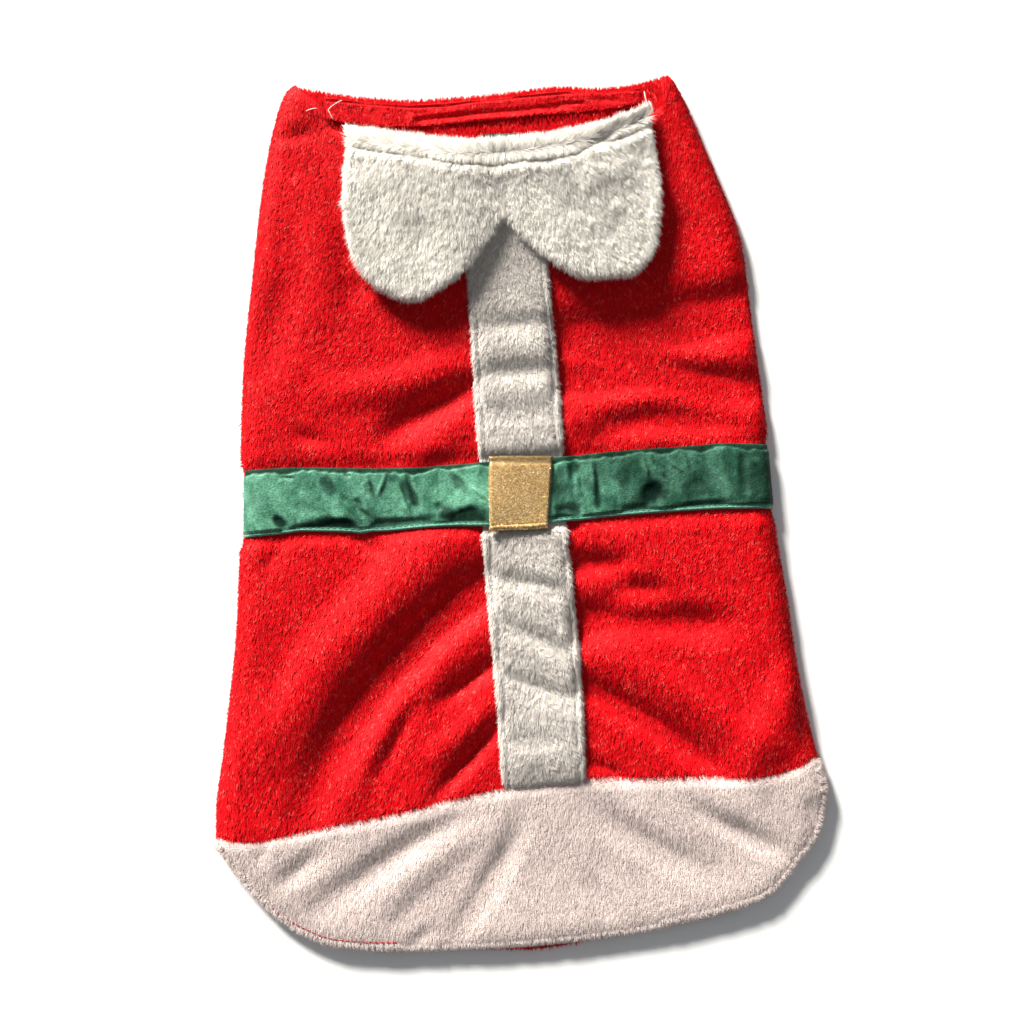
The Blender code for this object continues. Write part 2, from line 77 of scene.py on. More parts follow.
# Height of the back's inner face over the belly panel, and the rim that turns it down
BASE = BELLY + GAP
LOFT = 3.5
LEAST_LOFT = 0.4
LOFT_SOFTNESS = 0.4
RIM = 7.0

# How the back is flattened to the hem, raised at the neck and drawn in under the belt
HEM_FLATTENING = 2.0
HEM_FADE = 42.0
HEM_SEAM = ((-116, -124), (0, -110), (114, -108))
NECK_RISE = 3.2
NECK_CENTRE = (4.0, 150.0)
NECK_FADE_ACROSS = (35.0, 72.0)
NECK_FADE_ALONG = (20.0, 75.0)
CINCH_DEPTH = 1.0
CINCH_LEFT = 2.2
CINCH_RIGHT = 0.8
CINCH_FADE = 4.5

# y where the collar begins to press on the placket strip, and where it does so fully
UNDER_COLLAR = (112.0, 118.0)

# Turns of the two lattices of a soft noise, and the share that each adds
NOISE_TURNS = (0.6, 2.0)
NOISE_SHARE = 0.75


class Slot(Enum):
    """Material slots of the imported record."""

    RED = "red_plush"
    WHITE = "white_plush"
    SATIN = "green_satin"
    LAME = "gold_lame"
    TAPE = "black_tape"


class Side(NamedTuple):
    """x of the left and the right edge of the garment at height y."""

    y: float
    left: float
    right: float


class Across(NamedTuple):
    """y of the lines that cross the back, at the share s of its width."""

    s: float
    seam: float
    belt_low: float
    belt_high: float
    neck: float


class HemPoint(NamedTuple):
    """Point of the hem's lower edge at the share s from left to right."""

    s: float
    x: float
    y: float


class Fold(NamedTuple):
    """Fold along a line: its ends, half its width, its height or depth, and the line's bow."""

    x1: float
    y1: float
    x2: float
    y2: float
    width: float
    height: float
    bow: float = 0.0


class Shade(NamedTuple):
    """Dark oval on the belt: its middle, half its length and width, its turn in degrees, its depth."""

    x: float
    y: float
    half_length: float
    half_width: float
    turn: float
    depth: float


class CollarRay(NamedTuple):
    """Line of the collar from a point of its neck edge to a point of its lower edge."""

    u: float
    top_x: float
    top_y: float
    low_x: float
    low_y: float


class NeckPoint(NamedTuple):
    """y of the belly panel's neck edge and of its turned-in edge's lower side, at x."""

    x: float
    y: float
    facing_y: float


class Thread(NamedTuple):
    """Loose thread: ends and middle of its line in plan, height over the cloth, and radius."""

    x1: float
    y1: float
    x2: float
    y2: float
    x3: float
    y3: float
    z: float
    radius: float


def table(kind: type, *rows: tuple[float, ...]) -> tuple:
    """A table of one kind of row, from its rows of numbers."""
    return tuple(kind(*row) for row in rows)


SIDES = table(
    Side,
    (-127, -117, 117.2), (-112, -116.4, 116.2), (-95, -113.6, 112.8), (-70, -109.6, 109.4),
    (-45, -106.2, 107.4), (-14, -103.8, 104.7), (22, -102, 104), (60, -99.2, 101.5), (95, -94.3, 99.4),
    (120, -90.7, 92.6), (140, -87, 85.8), (155, -83.2, 80.6), (165, -79.6, 76.2), (170, -76, 73.6),
)
ACROSS = table(
    Across,
    (0, -124.3, -9.6, 16.6, 169.9), (0.05, -126.6, -9.2, 16.6, 165), (0.1, -125.2, -8.6, 16.4, 159.8),
    (0.14, -123.6, -9, 15.8, 150), (0.2, -121.4, -9.8, 15, 147.2), (0.3, -118.2, -10.3, 14.2, 145.4),
    (0.4, -113.8, -10.1, 14.3, 142), (0.5, -110.3, -10.6, 14.2, 139.8), (0.6, -108.9, -10.3, 14.9, 140.2),
    (0.7, -110, -9.2, 16, 143.2), (0.8, -110.9, -8.6, 16.6, 145.4), (0.9, -112.2, -8.5, 16.7, 148.8),
    (0.95, -110.6, -8.8, 16.3, 153), (0.97, -109.2, -9, 16.1, 161), (1, -105.8, -9.3, 15.9, 166.2),
)
HEM_EDGE = table(
    HemPoint,
    (0, -117, -127.2), (0.05, -108.5, -139), (0.1, -98.5, -150.8), (0.15, -86.5, -160.8),
    (0.2, -72, -167), (0.3, -46, -169.6), (0.45, -8, -170.1), (0.6, 27, -168.7), (0.8, 75, -162),
    (0.86, 91, -157.2), (0.91, 103.5, -145.5), (0.96, 113, -133.4), (1, 117.2, -118.5),
)
STRIP_EDGES = table(
    Side,
    (-110, -6.2, 24.9), (-75, -6.7, 25.2), (-45, -7.7, 24.6), (-12, -8.8, 23.2), (15, -8.7, 23.5),
    (50, -9, 23), (90, -9.4, 21.6), (145, -9.8, 20.6),
)
FOLDS = table(
    Fold,
    (3, 6, -103, -98, 18, 2.8, -5), (5, -25, -85, -124, 14, -3.5, -13), (16, -19, -40, -52, 12, -2.3),
    (0, -44, -66, -116, 8, 1, -8), (-1, -58, -28, -77, 6, -2.1), (-2, -70, -38, -100, 7, 1.2, 2),
    (-2, -82, -34, -114, 6, -2.1), (-35, -70, -56, -106, 6, -1.3), (-6, 57, -70, 44, 10, 1.5, 3),
    (0, 48, -48, 25, 9, -2.9, -2), (-8, 33, -40, 14, 8, 1), (-80, 98, -96, 44, 15, -1.7),
    (-72, 132, -66, 68, 11, 0.8, 3), (-60, 130, -55, 72, 9, -0.6, 2), (-10, 60, 150, 79, 18, -4.4, -4),
    (38, 52, 116, 34, 12, -4.4, -1), (2, 47, 56, 41, 10, -3.6), (34, 25, 100, 21, 11, -3, 5),
    (22, 29, 40, 27, 8, 0.9), (30, -54, 98, -104, 10, 1.6), (6, -60, 84, -114, 9, -3.4, 2),
    (18, -25, 48, -28, 8, -2.9), (36, -35, 62, -39, 8, -2.4), (4, -48, 46, -50, 14, -3.9),
    (40, -48, 88, -54, 11, -2.9), (80, -120, 114, -64, 14, 1.8), (-6, -25, 24, -35, 6, -1),
    (-3, -40, 24, -61, 6, -1), (-5, -64, 25, -78, 6, -1), (-14, -117, -84, -156, 9, -1.6, -3),
    (-20, -125, -66, -164, 9, 0.9, -2), (2, -118, -30, -168, 8, -1.6, 2),
    (20, -112, 72, -148, 9, -1.9, -3), (62, -119, 100, -142, 7, -1.8), (22, -143, 34, -163, 6, -0.9),
)
FOLD_END = 0.15
FOLD_DEPTH = 1.3

# Small creases that only the dressed cloth has
CREASES = table(
    Fold,
    (-9, -24, -26, -30, 5, -0.5), (-32, -52, -35, -70, 4, -0.7), (-60, -11, -46, -19, 5, -1.4),
    (-86, -12, -94, -24, 6, -0.8), (-86, -56, -93, -78, 7, -0.8), (-82, 31, -66, 25, 5, -1.2),
    (-74, -129, -95, -143, 7, -1.2), (-33, -160, -46, -167, 5, -0.9), (-98, -126, -100, -134, 4, -0.7),
    (22, -99, 42, -109, 4, -1.1), (106, -80, 112, -108, 5, -1.3), (108, -119, 111, -132, 4, -0.8),
    (-84, 148, -64, 150, 5, -0.9), (60, 112, 84, 96, 8, -0.7, 3), (-30, 98, -62, 84, 8, -0.6, 3),
)

# Waves of the placket strip, which bridges the back's folds
STRIP_FOLDS = table(
    Fold,
    (-22, 69, 36, 68, 7, -0.9), (-22, 59, 36, 58, 6, 0.4), (-22, 49, 36, 50, 7, -1),
    (-22, 34, 36, 33, 7, -1), (-20, -25, 35, -41, 6.5, -1.2), (-18, -41, 34, -68, 6.5, -1.2, 1),
    (-18, -62, 36, -85, 7, -1.3), (-16, -91, 20, -94, 6, -0.6), (-20, -100, 38, -104, 8, 0.25),
)

# Creases of the satin belt
BELT_CREASES = table(
    Fold,
    (-66.1, 11.9, -61.7, 3.8, 1.1, 0.45), (-61.1, 2.3, -55.6, -5.5, 1.1, 0.5),
    (-68.9, 14.1, -64.1, 1.6, 3.7, -0.45), (-53.2, 10.7, -50, 2.1, 1.1, 0.4),
    (-51.1, 11.5, -49.8, 3.8, 1.7, -0.4), (-49.2, 2.9, -44.4, 12.8, 1.2, 0.4),
    (-55.8, -0.5, -50.7, -5.8, 1.1, -0.6), (-89, -2, -83.5, -7.5, 2.6, -0.8),
    (-82, -8.2, -72, -8.4, 3.4, -1), (-72, -8.2, -56, -8.4, 4.6, -1.2), (-53, -8.2, -38, -8.4, 4, -1.1),
    (-57.3, 3, -54.2, -0.6, 1.9, -0.4), (-86.5, 13.4, -80.3, 12, 1.2, -0.5),
    (-61.5, 12.9, -58.6, 11.4, 1.2, -0.5), (-81.9, 3.5, -72.2, -3, 3.7, -0.25),
    (-41.9, 11.7, -35.7, -6, 1.1, 0.55), (-37.2, 12.8, -32.9, -2.6, 2, -0.7),
    (-35.4, 9.6, -32.5, 0.9, 1.1, 0.35), (-43.6, 4.2, -36.5, -4.6, 1.3, 0.3),
    (-20.6, 13.2, -15, 2.2, 3.3, -0.4), (-18.7, 11.6, -14.9, 7.3, 1.1, 0.35),
    (-12.2, 4.3, -6.8, -0.9, 1.1, 0.45), (-44, -8, -27, -8.6, 3.2, -1), (-21, -7.6, -6, -7, 5.4, -1.2),
    (-25.5, -0.3, -24.1, -4.4, 2.4, -0.5), (26.1, 12.6, 27.2, 3.9, 2.4, -0.45),
    (27.5, 10.7, 28.9, -2.4, 1.7, 0.35), (36, 12.7, 36.4, -6.5, 1.8, -0.45),
    (34.4, 12.2, 35.4, 2.8, 1.1, 0.35), (53.8, 13.6, 55.9, 4.8, 1.1, 0.5),
    (57.5, 13.4, 60.8, 7, 1.5, -0.45), (58.5, 9.6, 62.8, 4.7, 1.1, 0.4),
    (63.6, 11.8, 69.7, 6.2, 1.1, 0.4), (69.8, 13.4, 71.9, 7.7, 1.1, 0.4),
    (75.8, 11.8, 80.5, 3.8, 1.1, 0.35), (83.9, 12.6, 87.3, -5.6, 3, 0.5),
    (92.9, 13.3, 91.8, -6.4, 2.7, -0.5), (56.2, 2.9, 57.5, -5.8, 4.9, -0.8),
    (75.5, 6.8, 75, -0.6, 5.5, -0.35), (64, -7.6, 88, -6.8, 3, -0.8), (19, -7.4, 30, -7.6, 5.2, -0.9),
    (44, -7.4, 57, -7.6, 3.6, -0.8),
)

# Dark places of the belt, where the satin turns from the light
BELT_SHADES = table(
    Shade,
    (-67.2, -6.5, 12, 3.9, -1, 0.95), (-86.6, -4.3, 3.4, 2.6, -30, 0.85),
    (-16.2, -6.5, 10.5, 4.2, 3, 0.95), (-21.8, -4.3, 3.4, 3.8, -3, 0.75),
    (-36.4, 4.2, 8.5, 2.4, -61, 0.75), (-51.6, 7, 5.6, 2.1, -58, 0.6), (-68, 9.8, 5.7, 2.9, -53, 0.45),
    (-17.4, 7.1, 5.3, 2.7, -48, 0.45), (-52.5, -3, 5.3, 2.7, -43, 0.5), (-28.8, -5.9, 3.4, 1.5, -3, 0.6),
    (57.5, 0.2, 6.4, 5.8, 7, 1), (54.7, -2.6, 6.3, 2.9, 17, 0.8), (21.6, 3.8, 3.1, 10.7, -3, 0.5),
    (35.9, -1.6, 1.7, 7.6, -3, 0.7), (27.4, 10.5, 2.7, 3.4, -3, 0.6), (74.1, -0.2, 5.7, 4.2, -3, 0.5),
    (99, 2.4, 8.5, 15.8, -3, 0.62), (22.1, -8.6, 5.7, 1.9, 1, 0.9), (52.8, -8.7, 6.5, 1.5, 2, 0.8),
    (-94.4, 4.3, 3.8, 9.2, -3, 0.25), (45.6, 5.2, 3.1, 5.3, -33, 0.35), (-42.6, 10.8, 3.1, 2.3, -3, 0.45),
    (76, 4, 58, 24, -3, 0.58),
)

LEFT_LOBE = table(
    CollarRay,
    (0, -55.6, 149, -57.2, 122), (0.2, -43.5, 147, -54.6, 99.5), (0.4, -31.5, 144.9, -45.3, 85.3),
    (0.6, -19, 142.6, -31.2, 79.6), (0.8, -6.5, 140.2, -14, 88), (1, 5.6, 139.2, 5.9, 111.1),
)
RIGHT_LOBE = table(
    CollarRay,
    (0, 5.6, 139.2, 5.9, 111.1), (0.2, 18, 140.3, 21.5, 94.6), (0.4, 30.5, 142.2, 37.5, 84.9),
    (0.6, 42.5, 144.7, 53, 85), (0.8, 54.5, 147.8, 65.2, 98), (1, 66.8, 152.4, 67.6, 121),
)
COLLAR_CREASE = (
    (-60, 143.5), (-54.5, 142.7), (-38.3, 138.6), (-22.5, 135.3), (-12.1, 132.7), (3.5, 131.5),
    (12.5, 132.4), (24.2, 132.4), (34.9, 134.2), (43.2, 137.4), (53.2, 140.1), (65.2, 145.1),
)
COLLAR_TUCK = ((37.7, 135.7), (51.7, 142.2), (63, 147.2))
COLLAR_DENTS = table(
    Fold,
    (-40, 108, -18, 104, 14, -0.75), (14, 128, 40, 104, 13, -0.9, 2), (0, 132, 10, 108, 11, -0.8),
    (-50, 128, -20, 126, 12, 0.6, 2), (34, 122, 58, 126, 10, 0.5, 2),
)
FACING_SEAM = (
    (-64, 163.5), (-55.6, 162.3), (-47.1, 161.2), (-38.1, 159.8), (-28.6, 158.6), (-15.4, 158.4),
    (-1, 159.6), (11.7, 160.2), (33.9, 161), (50.6, 160.8), (64, 160.6),
)
FACING_LIP = ((-30, 150.2), (-15.8, 151.2), (-1.5, 152), (16.7, 152.6), (30.2, 153.4), (42, 154))
FACING_CREASES = table(
    Fold,
    (-28.9, 157, -27.7, 150, 2.5, 0.7), (25.1, 153.5, 30.5, 157.2, 1.5, -0.5),
    (30.5, 157.2, 40.4, 156.6, 1.5, -0.5), (-22, 156, -4, 156.5, 2.2, 0.4), (44, 158, 56, 157, 2, -0.3),
)
BELLY_NECK = table(
    NeckPoint,
    (-76, 169.5, 160), (-58, 165.5, 155), (-46, 163.3, 152.6), (-27, 161.3, 150.9), (0, 161.8, 151.6),
    (30, 163.6, 153.2), (46, 162.2, 153.8), (58, 162.7, 155.4), (73.6, 165.8, 160),
)
LOOSE_THREADS = table(
    Thread,
    (-60.9, 157.6, -58.3, 159.6, -55.2, 160.8, 0.6, 0.17),
    (-69.6, 157.6, -67.4, 158.3, -65.2, 158.4, 0.5, 0.15),
    (-60.9, 157.6, -60.2, 155.6, -59.1, 153.4, 0.8, 0.1),
    (63.5, 157.6, 63.6, 154.2, 64.7, 151.1, 2, 0.19), (65, 153.5, 66.2, 151.4, 66.4, 148.2, 2.2, 0.26),
)


def column(rows: Sequence[NamedTuple], name: str) -> Array:
    """One named column of a table, as an array."""
    return np.array([getattr(row, name) for row in rows], dtype=float)


def smooth_curve(at: Array, knots: Array, values: Array) -> Array:
    """Monotone cubic curve through knots, which never overshoots them.

    Each stretch is the cubic with the harmonic mean of its neighbours' slopes at both ends.

    Args:
        at: where the curve is read, held between the first and the last knot.
        knots: rising places of the knots.
        values: the curve's value at each knot.

    Returns:
        The curve's values, in the shape of at.
    """
    steps = np.diff(knots)
    slopes = np.diff(values) / steps
    tangents = np.zeros(len(knots))
    same_way = slopes[:-1] * slopes[1:] > 0
    mean = 2 * slopes[:-1] * slopes[1:] / np.where(same_way, slopes[:-1] + slopes[1:], 1)
    tangents[1:-1] = np.where(same_way, mean, 0)
    tangents[0] = slopes[0]
    tangents[-1] = slopes[-1]
    at = np.clip(np.asarray(at, dtype=float), knots[0], knots[-1])
    i = np.clip(np.searchsorted(knots, at) - 1, 0, len(steps) - 1)
    t = (at - knots[i]) / steps[i]
    rise = (values[i + 1] - values[i]) * t * t * (3 - 2 * t)
    bend_in = t * (1 - t) ** 2 * steps[i] * tangents[i]
    bend_out = -t * t * (1 - t) * steps[i] * tangents[i + 1]
    return values[i] + rise + bend_in + bend_out


def through(rows: Sequence[NamedTuple], key: str, name: str, at: Array) -> Array:
    """The named column of a table as a smooth function of its key column."""
    return smooth_curve(at, column(rows, key), column(rows, name))


def above(line: Sequence[tuple[float, float]], x: Array, y: Array) -> Array:
    """How far each place lies above a line of points, in y."""
    points = np.array(line, dtype=float)
    return y - np.interp(x, points[:, 0], points[:, 1])


def sides_at(sides: Sequence[Side], y: Array) -> tuple[Array, Array]:
    """x of the left and the right edge at height y."""
    return through(sides, "y", "left", y), through(sides, "y", "right", y)


def from_strip(x: Array, y: Array) -> Array:
    """Distance in plan from the placket strip, negative on it."""
    left, right = sides_at(STRIP_EDGES, y)
    return np.maximum(left - x, x - right)


def ease(x: Array, low: float, high: float) -> Array:
    """0 below low, 1 above high, and a soft step between them."""
    t = np.clip((x - low) / (high - low), 0, 1)
    return t * t * (3 - 2 * t)


def bell(x: Array) -> Array:
    """1 at the middle, 0 from a distance of 1 on, and soft at both."""
    return np.cos(np.clip(np.abs(x), 0, 1) * math.pi / 2) ** 2


def dome(distance: Array, width: float) -> Array:
    """Quarter of an ellipse: 0 on an edge, 1 from the width inward."""
    t = 1 - np.clip(distance / width, 0, 1)
    return np.sqrt(1 - t * t)


def soft_floor(x: Array, softness: float) -> Array:
    """The value where it is well above 0, and a little over 0 where it is well below."""
    return (x + np.sqrt(x * x + softness)) / 2


def crowded(count: int, crowding: float) -> Array:
    """Shares from 0 to 1 that lie closer together towards both ends."""
    turn = np.linspace(0, math.pi, count)
    return crowding * (1 - np.cos(turn)) / 2 + (1 - crowding) * turn / math.pi


def stacked(*parts: Array | float) -> Array:
    """Arrays and numbers side by side, along a new last axis."""
    return np.stack(np.broadcast_arrays(*parts), axis=-1)


def unit(vectors: Array) -> Array:
    """The vectors at length one."""
    return vectors / np.maximum(np.linalg.norm(vectors, axis=-1, keepdims=True), 1e-9)


def beside_line(line: Array) -> Array:
    """Level unit directions to the right of a line of points."""
    run = np.gradient(line, axis=0)
    return unit(stacked(run[:, 1], -run[:, 0], 0.0))


def scatter(cells: Array, seed: float) -> Array:
    """A steady random number from 0 to 1 for each whole-numbered cell (i, j)."""
    mixed = np.sin(cells[..., 0] * 127.1 + cells[..., 1] * 311.7 + seed * 74.7) * 43758.5453
    return mixed - np.floor(mixed)


def soft_noise(x: Array, y: Array, size: float, seed: float) -> Array:
    """Smooth noise from about -1 to 1: the sum of two turned lattices of eased random values."""
    value = np.zeros(np.shape(x))
    for turn in NOISE_TURNS:
        along = x * math.cos(turn) + y * math.sin(turn)
        across = y * math.cos(turn) - x * math.sin(turn)
        place = stacked(along, across) / size + turn
        cell = np.floor(place)
        t = place - cell
        t = t * t * (3 - 2 * t)
        for i in (0, 1):
            for j in (0, 1):
                corner = scatter(cell + (i, j), seed + turn) * 2 - 1
                share = (t[..., 0] if i else 1 - t[..., 0]) * (t[..., 1] if j else 1 - t[..., 1])
                value += NOISE_SHARE * corner * share
    return value


def noises(x: Array, y: Array, *layers: tuple[float, float, float]) -> Array:
    """Sum of soft noises, each given by its height, the size of its blots and its seed."""
    return sum(height * soft_noise(x, y, size, seed) for height, size, seed in layers)


def distance_to_line(x: Array, y: Array, line: Array) -> Array:
    """Distance in plan from each point to the nearest part of a line of points."""
    nearest = np.full(np.shape(x), np.inf)
    for (ax, ay), (bx, by) in zip(line[:-1], line[1:]):
        run = (bx - ax, by - ay)
        square = run[0] ** 2 + run[1] ** 2
        share = np.clip(((x - ax) * run[0] + (y - ay) * run[1]) / square, 0, 1)
        square_gap = (x - ax - share * run[0]) ** 2 + (y - ay - share * run[1]) ** 2
        nearest = np.minimum(nearest, square_gap)
    return np.sqrt(nearest)


@dataclass
class Face:
    """One face of a cloth on a grid, by row and column: its points and outward directions."""

    points: Array
    out: Array

    @property
    def x(self) -> Array:
        """x of the points."""
        return self.points[..., 0]

    @property
    def y(self) -> Array:
        """y of the points."""
        return self.points[..., 1]

    def raised(self, distance: Array | float) -> "Face":
        """The face moved out from the cloth by a distance, one for all or one a point."""
        step = np.broadcast_to(distance, self.points.shape[:2])[..., None]
        return Face(self.points + step * self.out, self.out)

    def reshaped(self) -> "Face":
        """The same points with outward directions read off their own surface."""
        return Face(self.points, outward(self.points))


def outward(points: Array) -> Array:
    """Unit normals of a grid whose columns run to +X and rows to +Y, facing up."""
    return unit(np.cross(np.gradient(points, axis=1), np.gradient(points, axis=0)))


@dataclass
class Garment:
    """Shape of the laid-out garment, which every cloth is laid on.

    In plan the back runs from the hem's edge to the neck. Its height is the crown, which is the
    loft with the neck's rise, the belt's cinch, the folds and small creases, turned down over the
    rim's width by a quarter of an ellipse.
    """

    hem_rows: int = 26
    lower_rows: int = 48
    belt_rows: int = 12
    upper_rows: int = 58
    columns: int = 98
    rim_steps: int = 7
    hem_row_crowding: float = 1.5
    wander: float = 0.22
    rim: Array = field(init=False, repr=False)
    inner: Face = field(init=False, repr=False)

    def __post_init__(self) -> None:
        """Lay out the back's inner face, which faces level outward all along its rim."""
        plan = self.plan()
        self.rim = np.concatenate((plan[::-1, 0], plan[0, 1:], plan[1:, -1]))
        rows, columns = plan.shape[:2]
        self.inner = self.laid(plan[..., 0], plan[..., 1])
        level = beside_line(self.rim)
        self.inner.out[::-1, 0] = level[:rows]
        self.inner.out[0, 1:] = level[rows:rows + columns - 1]
        self.inner.out[1:, -1] = level[rows + columns - 1:]

    @staticmethod
    def near_belt(y: Array) -> Array:
        """1 under the belt, fading to 0 a little way above and below it."""
        low = column(ACROSS, "belt_low").min()
        high = column(ACROSS, "belt_high").max()
        return ease(y, low - CINCH_FADE, low) * (1 - ease(y, high, high + CINCH_FADE))

    def left(self, y: Array) -> Array:
        """Left edge of the back's inner face."""
        return through(SIDES, "y", "left", y) + PLUSH + CINCH_LEFT * self.near_belt(y)

    def right(self, y: Array) -> Array:
        """Right edge of the back's inner face."""
        return through(SIDES, "y", "right", y) - PLUSH - CINCH_RIGHT * self.near_belt(y)

    @staticmethod
    def fold_height(fold: Fold, x: Array, y: Array) -> Array:
        """Height that one fold adds: a bell across its bowed line, tapered to its ends."""
        along = np.array((fold.x2 - fold.x1, fold.y2 - fold.y1), dtype=float)
        length = np.linalg.norm(along)
        along /= length
        dx = x - fold.x1
        dy = y - fold.y1
        share = (dx * along[0] + dy * along[1]) / length
        inside = np.clip(share, 0, 1)
        aside = dy * along[0] - dx * along[1] - 4 * fold.bow * inside * (1 - inside)
        distance = np.hypot(aside, (share - inside) * length) / fold.width
        taper = FOLD_END + (1 - FOLD_END) * np.sin(math.pi * inside)
        return FOLD_DEPTH * fold.height * bell(distance) * taper

    def folded(self, height: Array | float, folds: Sequence[Fold], x: Array, y: Array,
               share: float = 1.0) -> Array:
        """A height with a share of the folds added."""
        for fold in folds:
            height = height + share * self.fold_height(fold, x, y)
        return height

    def crown(self, x: Array, y: Array, folds: Sequence[Fold] = FOLDS + CREASES) -> Array:
        """Height of the back's inner face, where no rim turns it down."""
        across = 1 - ease(np.abs(x - NECK_CENTRE[0]), *NECK_FADE_ACROSS)
        along = 1 - ease(np.abs(y - NECK_CENTRE[1]), *NECK_FADE_ALONG)
        z = BASE + LOFT + NECK_RISE * (along * across) - CINCH_DEPTH * self.near_belt(y)
        z = z - HEM_FLATTENING * ease(-above(HEM_SEAM, x, y), 0, HEM_FADE)
        z = self.folded(z, folds, x, y)
        z = BASE + LEAST_LOFT + soft_floor(z - BASE - LEAST_LOFT, LOFT_SOFTNESS)
        return z + self.wander * noises(x, y, (1.0, 17, 3), (0.5, 8, 5))

    def shares(self, y: float) -> Array:
        """Shares of the width at which the back's columns cross height y."""
        left = float(self.left(y))
        right = float(self.right(y))
        turns = np.linspace(0, math.pi / 2, self.rim_steps, endpoint=False)
        rim = RIM * (1 - np.cos(turns))
        middle = np.linspace(left + RIM, right - RIM, self.columns)
        places = np.concatenate((left + rim, middle, (right - rim)[::-1]))
        return (places - left) / (right - left)

    def plan(self) -> Array:
        """x and y of the back's grid, from the hem's edge to the neck."""
        bands = (
            ("seam", "belt_low", self.lower_rows),
            ("belt_low", "belt_high", self.belt_rows),
            ("belt_high", "neck", self.upper_rows),
        )
        rows = [self.row(low, high, t) for low, high, count in bands for t in np.arange(count) / count]
        rows.append(self.row("belt_high", "neck", 1.0))
        edge = self.hem_edge(self.shares(float(rows[0][len(rows[0]) // 2, 1])))
        hem = (np.arange(self.hem_rows) / self.hem_rows) ** self.hem_row_crowding
        return np.array([edge + (rows[0] - edge) * t for t in hem] + rows)

    def row(self, low: str, high: str, t: float) -> Array:
        """One row of the plan, the share t of the way between two lines across the back."""

        def height(s: Array | float) -> Array:
            """y of the row at a share of the width."""
            return through(ACROSS, "s", low, s) * (1 - t) + through(ACROSS, "s", high, s) * t

        s = self.shares(float(height(0.5)))
        y = height(s)
        return stacked(self.across(y, s), y)

    def across(self, y: Array, s: Array) -> Array:
        """x at the share s of the back's width at height y."""
        left = self.left(y)
        return left + (self.right(y) - left) * s

    @staticmethod
    def hem_edge(shares: Array, inset: float = PLUSH) -> Array:
        """Lower edge of the hem at the shares, moved in from the outline."""
        x = through(HEM_EDGE, "s", "x", shares)
        y = through(HEM_EDGE, "s", "y", shares)
        run = unit(stacked(np.gradient(x), np.gradient(y)))
        return stacked(x - run[:, 1] * inset, y + run[:, 0] * inset)

    def laid(self, x: Array, y: Array) -> Face:
        """Inner face of the back over any plan, with its outward directions."""
        factor = dome(distance_to_line(x, y, self.rim), RIM)
        points = stacked(x, y, BASE + (self.crown(x, y) - BASE) * factor)
        return Face(points, outward(points))


@dataclass
class Mesh:
    """Points in millimetres with faces of one width, and values that its finish reads."""

    points: Array
    faces: Array
    values: dict[str, Array] = field(default_factory=dict)
    shading: Array | None = None

    def joined(self, other: "Mesh") -> "Mesh":
        """This mesh and another of the same kind, as one."""
        faces = np.concatenate((self.faces, other.faces + len(self.points)))
        values = {k: np.concatenate((v, other.values[k])) for k, v in self.values.items()}
        shading = None if self.shading is None else np.concatenate((self.shading, other.shading))
        return Mesh(np.concatenate((self.points, other.points)), faces, values, shading)

    def piece(self, name: str, finish: Finish, slot: Slot) -> bpy.types.Object:
        """Make the piece and let it ride with the garment.

        Args:
            name: the piece's name.
            finish: what it is made of.
            slot: the record's material slot; not used.

        Returns:
            The new object, at the origin with its place in its mesh.
        """
        mesh = bpy.data.meshes.new(name)
        width = self.faces.shape[1]
        mesh.vertices.add(len(self.points))
        mesh.vertices.foreach_set("co", (self.points * MM).astype(np.float32).ravel())
        mesh.loops.add(self.faces.size)
        mesh.loops.foreach_set("vertex_index", self.faces.astype(np.int32).ravel())
        mesh.polygons.add(len(self.faces))
        mesh.polygons.foreach_set("loop_start", np.arange(0, self.faces.size, width, dtype=np.int32))
        mesh.update(calc_edges=True)
        mesh.shade_smooth()
        for key, value in self.values.items():
            layer = mesh.attributes.new(key, "FLOAT", "POINT")
            layer.data.foreach_set("value", value.astype(np.float32))
        if self.shading is not None:
            mesh.normals_split_custom_set_from_vertices(self.shading.astype(np.float32))
        mesh.materials.append(finish.material())
        piece = bpy.data.objects.new(name, mesh)
        bpy.context.scene.collection.objects.link(piece)
        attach(piece, BODY)
        log.info("%s: %d faces", name, len(self.faces))
        return piece


def wall(inner: Array, outer: Array, values: Mapping[str, Array] | None = None,
         kept: Array | None = None) -> Mesh:
    """Closed cloth wall between two faces that share one grid.

    Args:
        inner: points of the lower face, by row and column.
        outer: points of the upper face, by row and column.
        values: values on the grid, used for both faces.
        kept: which cells of the grid there is cloth in, or all.

    Returns:
        The wall as quads that face outward.
    """
    rows, columns = inner.shape[:2]
    index = np.arange(rows * columns).reshape(rows, columns)
    top = index.size
    face = np.stack((index[:-1, :-1], index[:-1, 1:], index[1:, 1:], index[1:, :-1]), axis=-1)
    face = face.reshape(-1, 4) if kept is None else face[kept]
    start = face.ravel()
    end = np.roll(face, -1, axis=1).ravel()
    edge = ~np.isin(start * top + end, end * top + start)
    side = np.stack((start[edge], end[edge], end[edge] + top, start[edge] + top), axis=-1)
    points = np.concatenate((inner.reshape(-1, 3), outer.reshape(-1, 3)))
    doubled = {k: np.tile(np.broadcast_to(v, (rows, columns)).ravel(), 2)
               for k, v in (values or {}).items()}
    faces = np.concatenate((face[:, ::-1], face + top, side))
    used, faces = np.unique(faces, return_inverse=True)
    return Mesh(points[used], faces.reshape(-1, 4), {k: v[used] for k, v in doubled.items()})


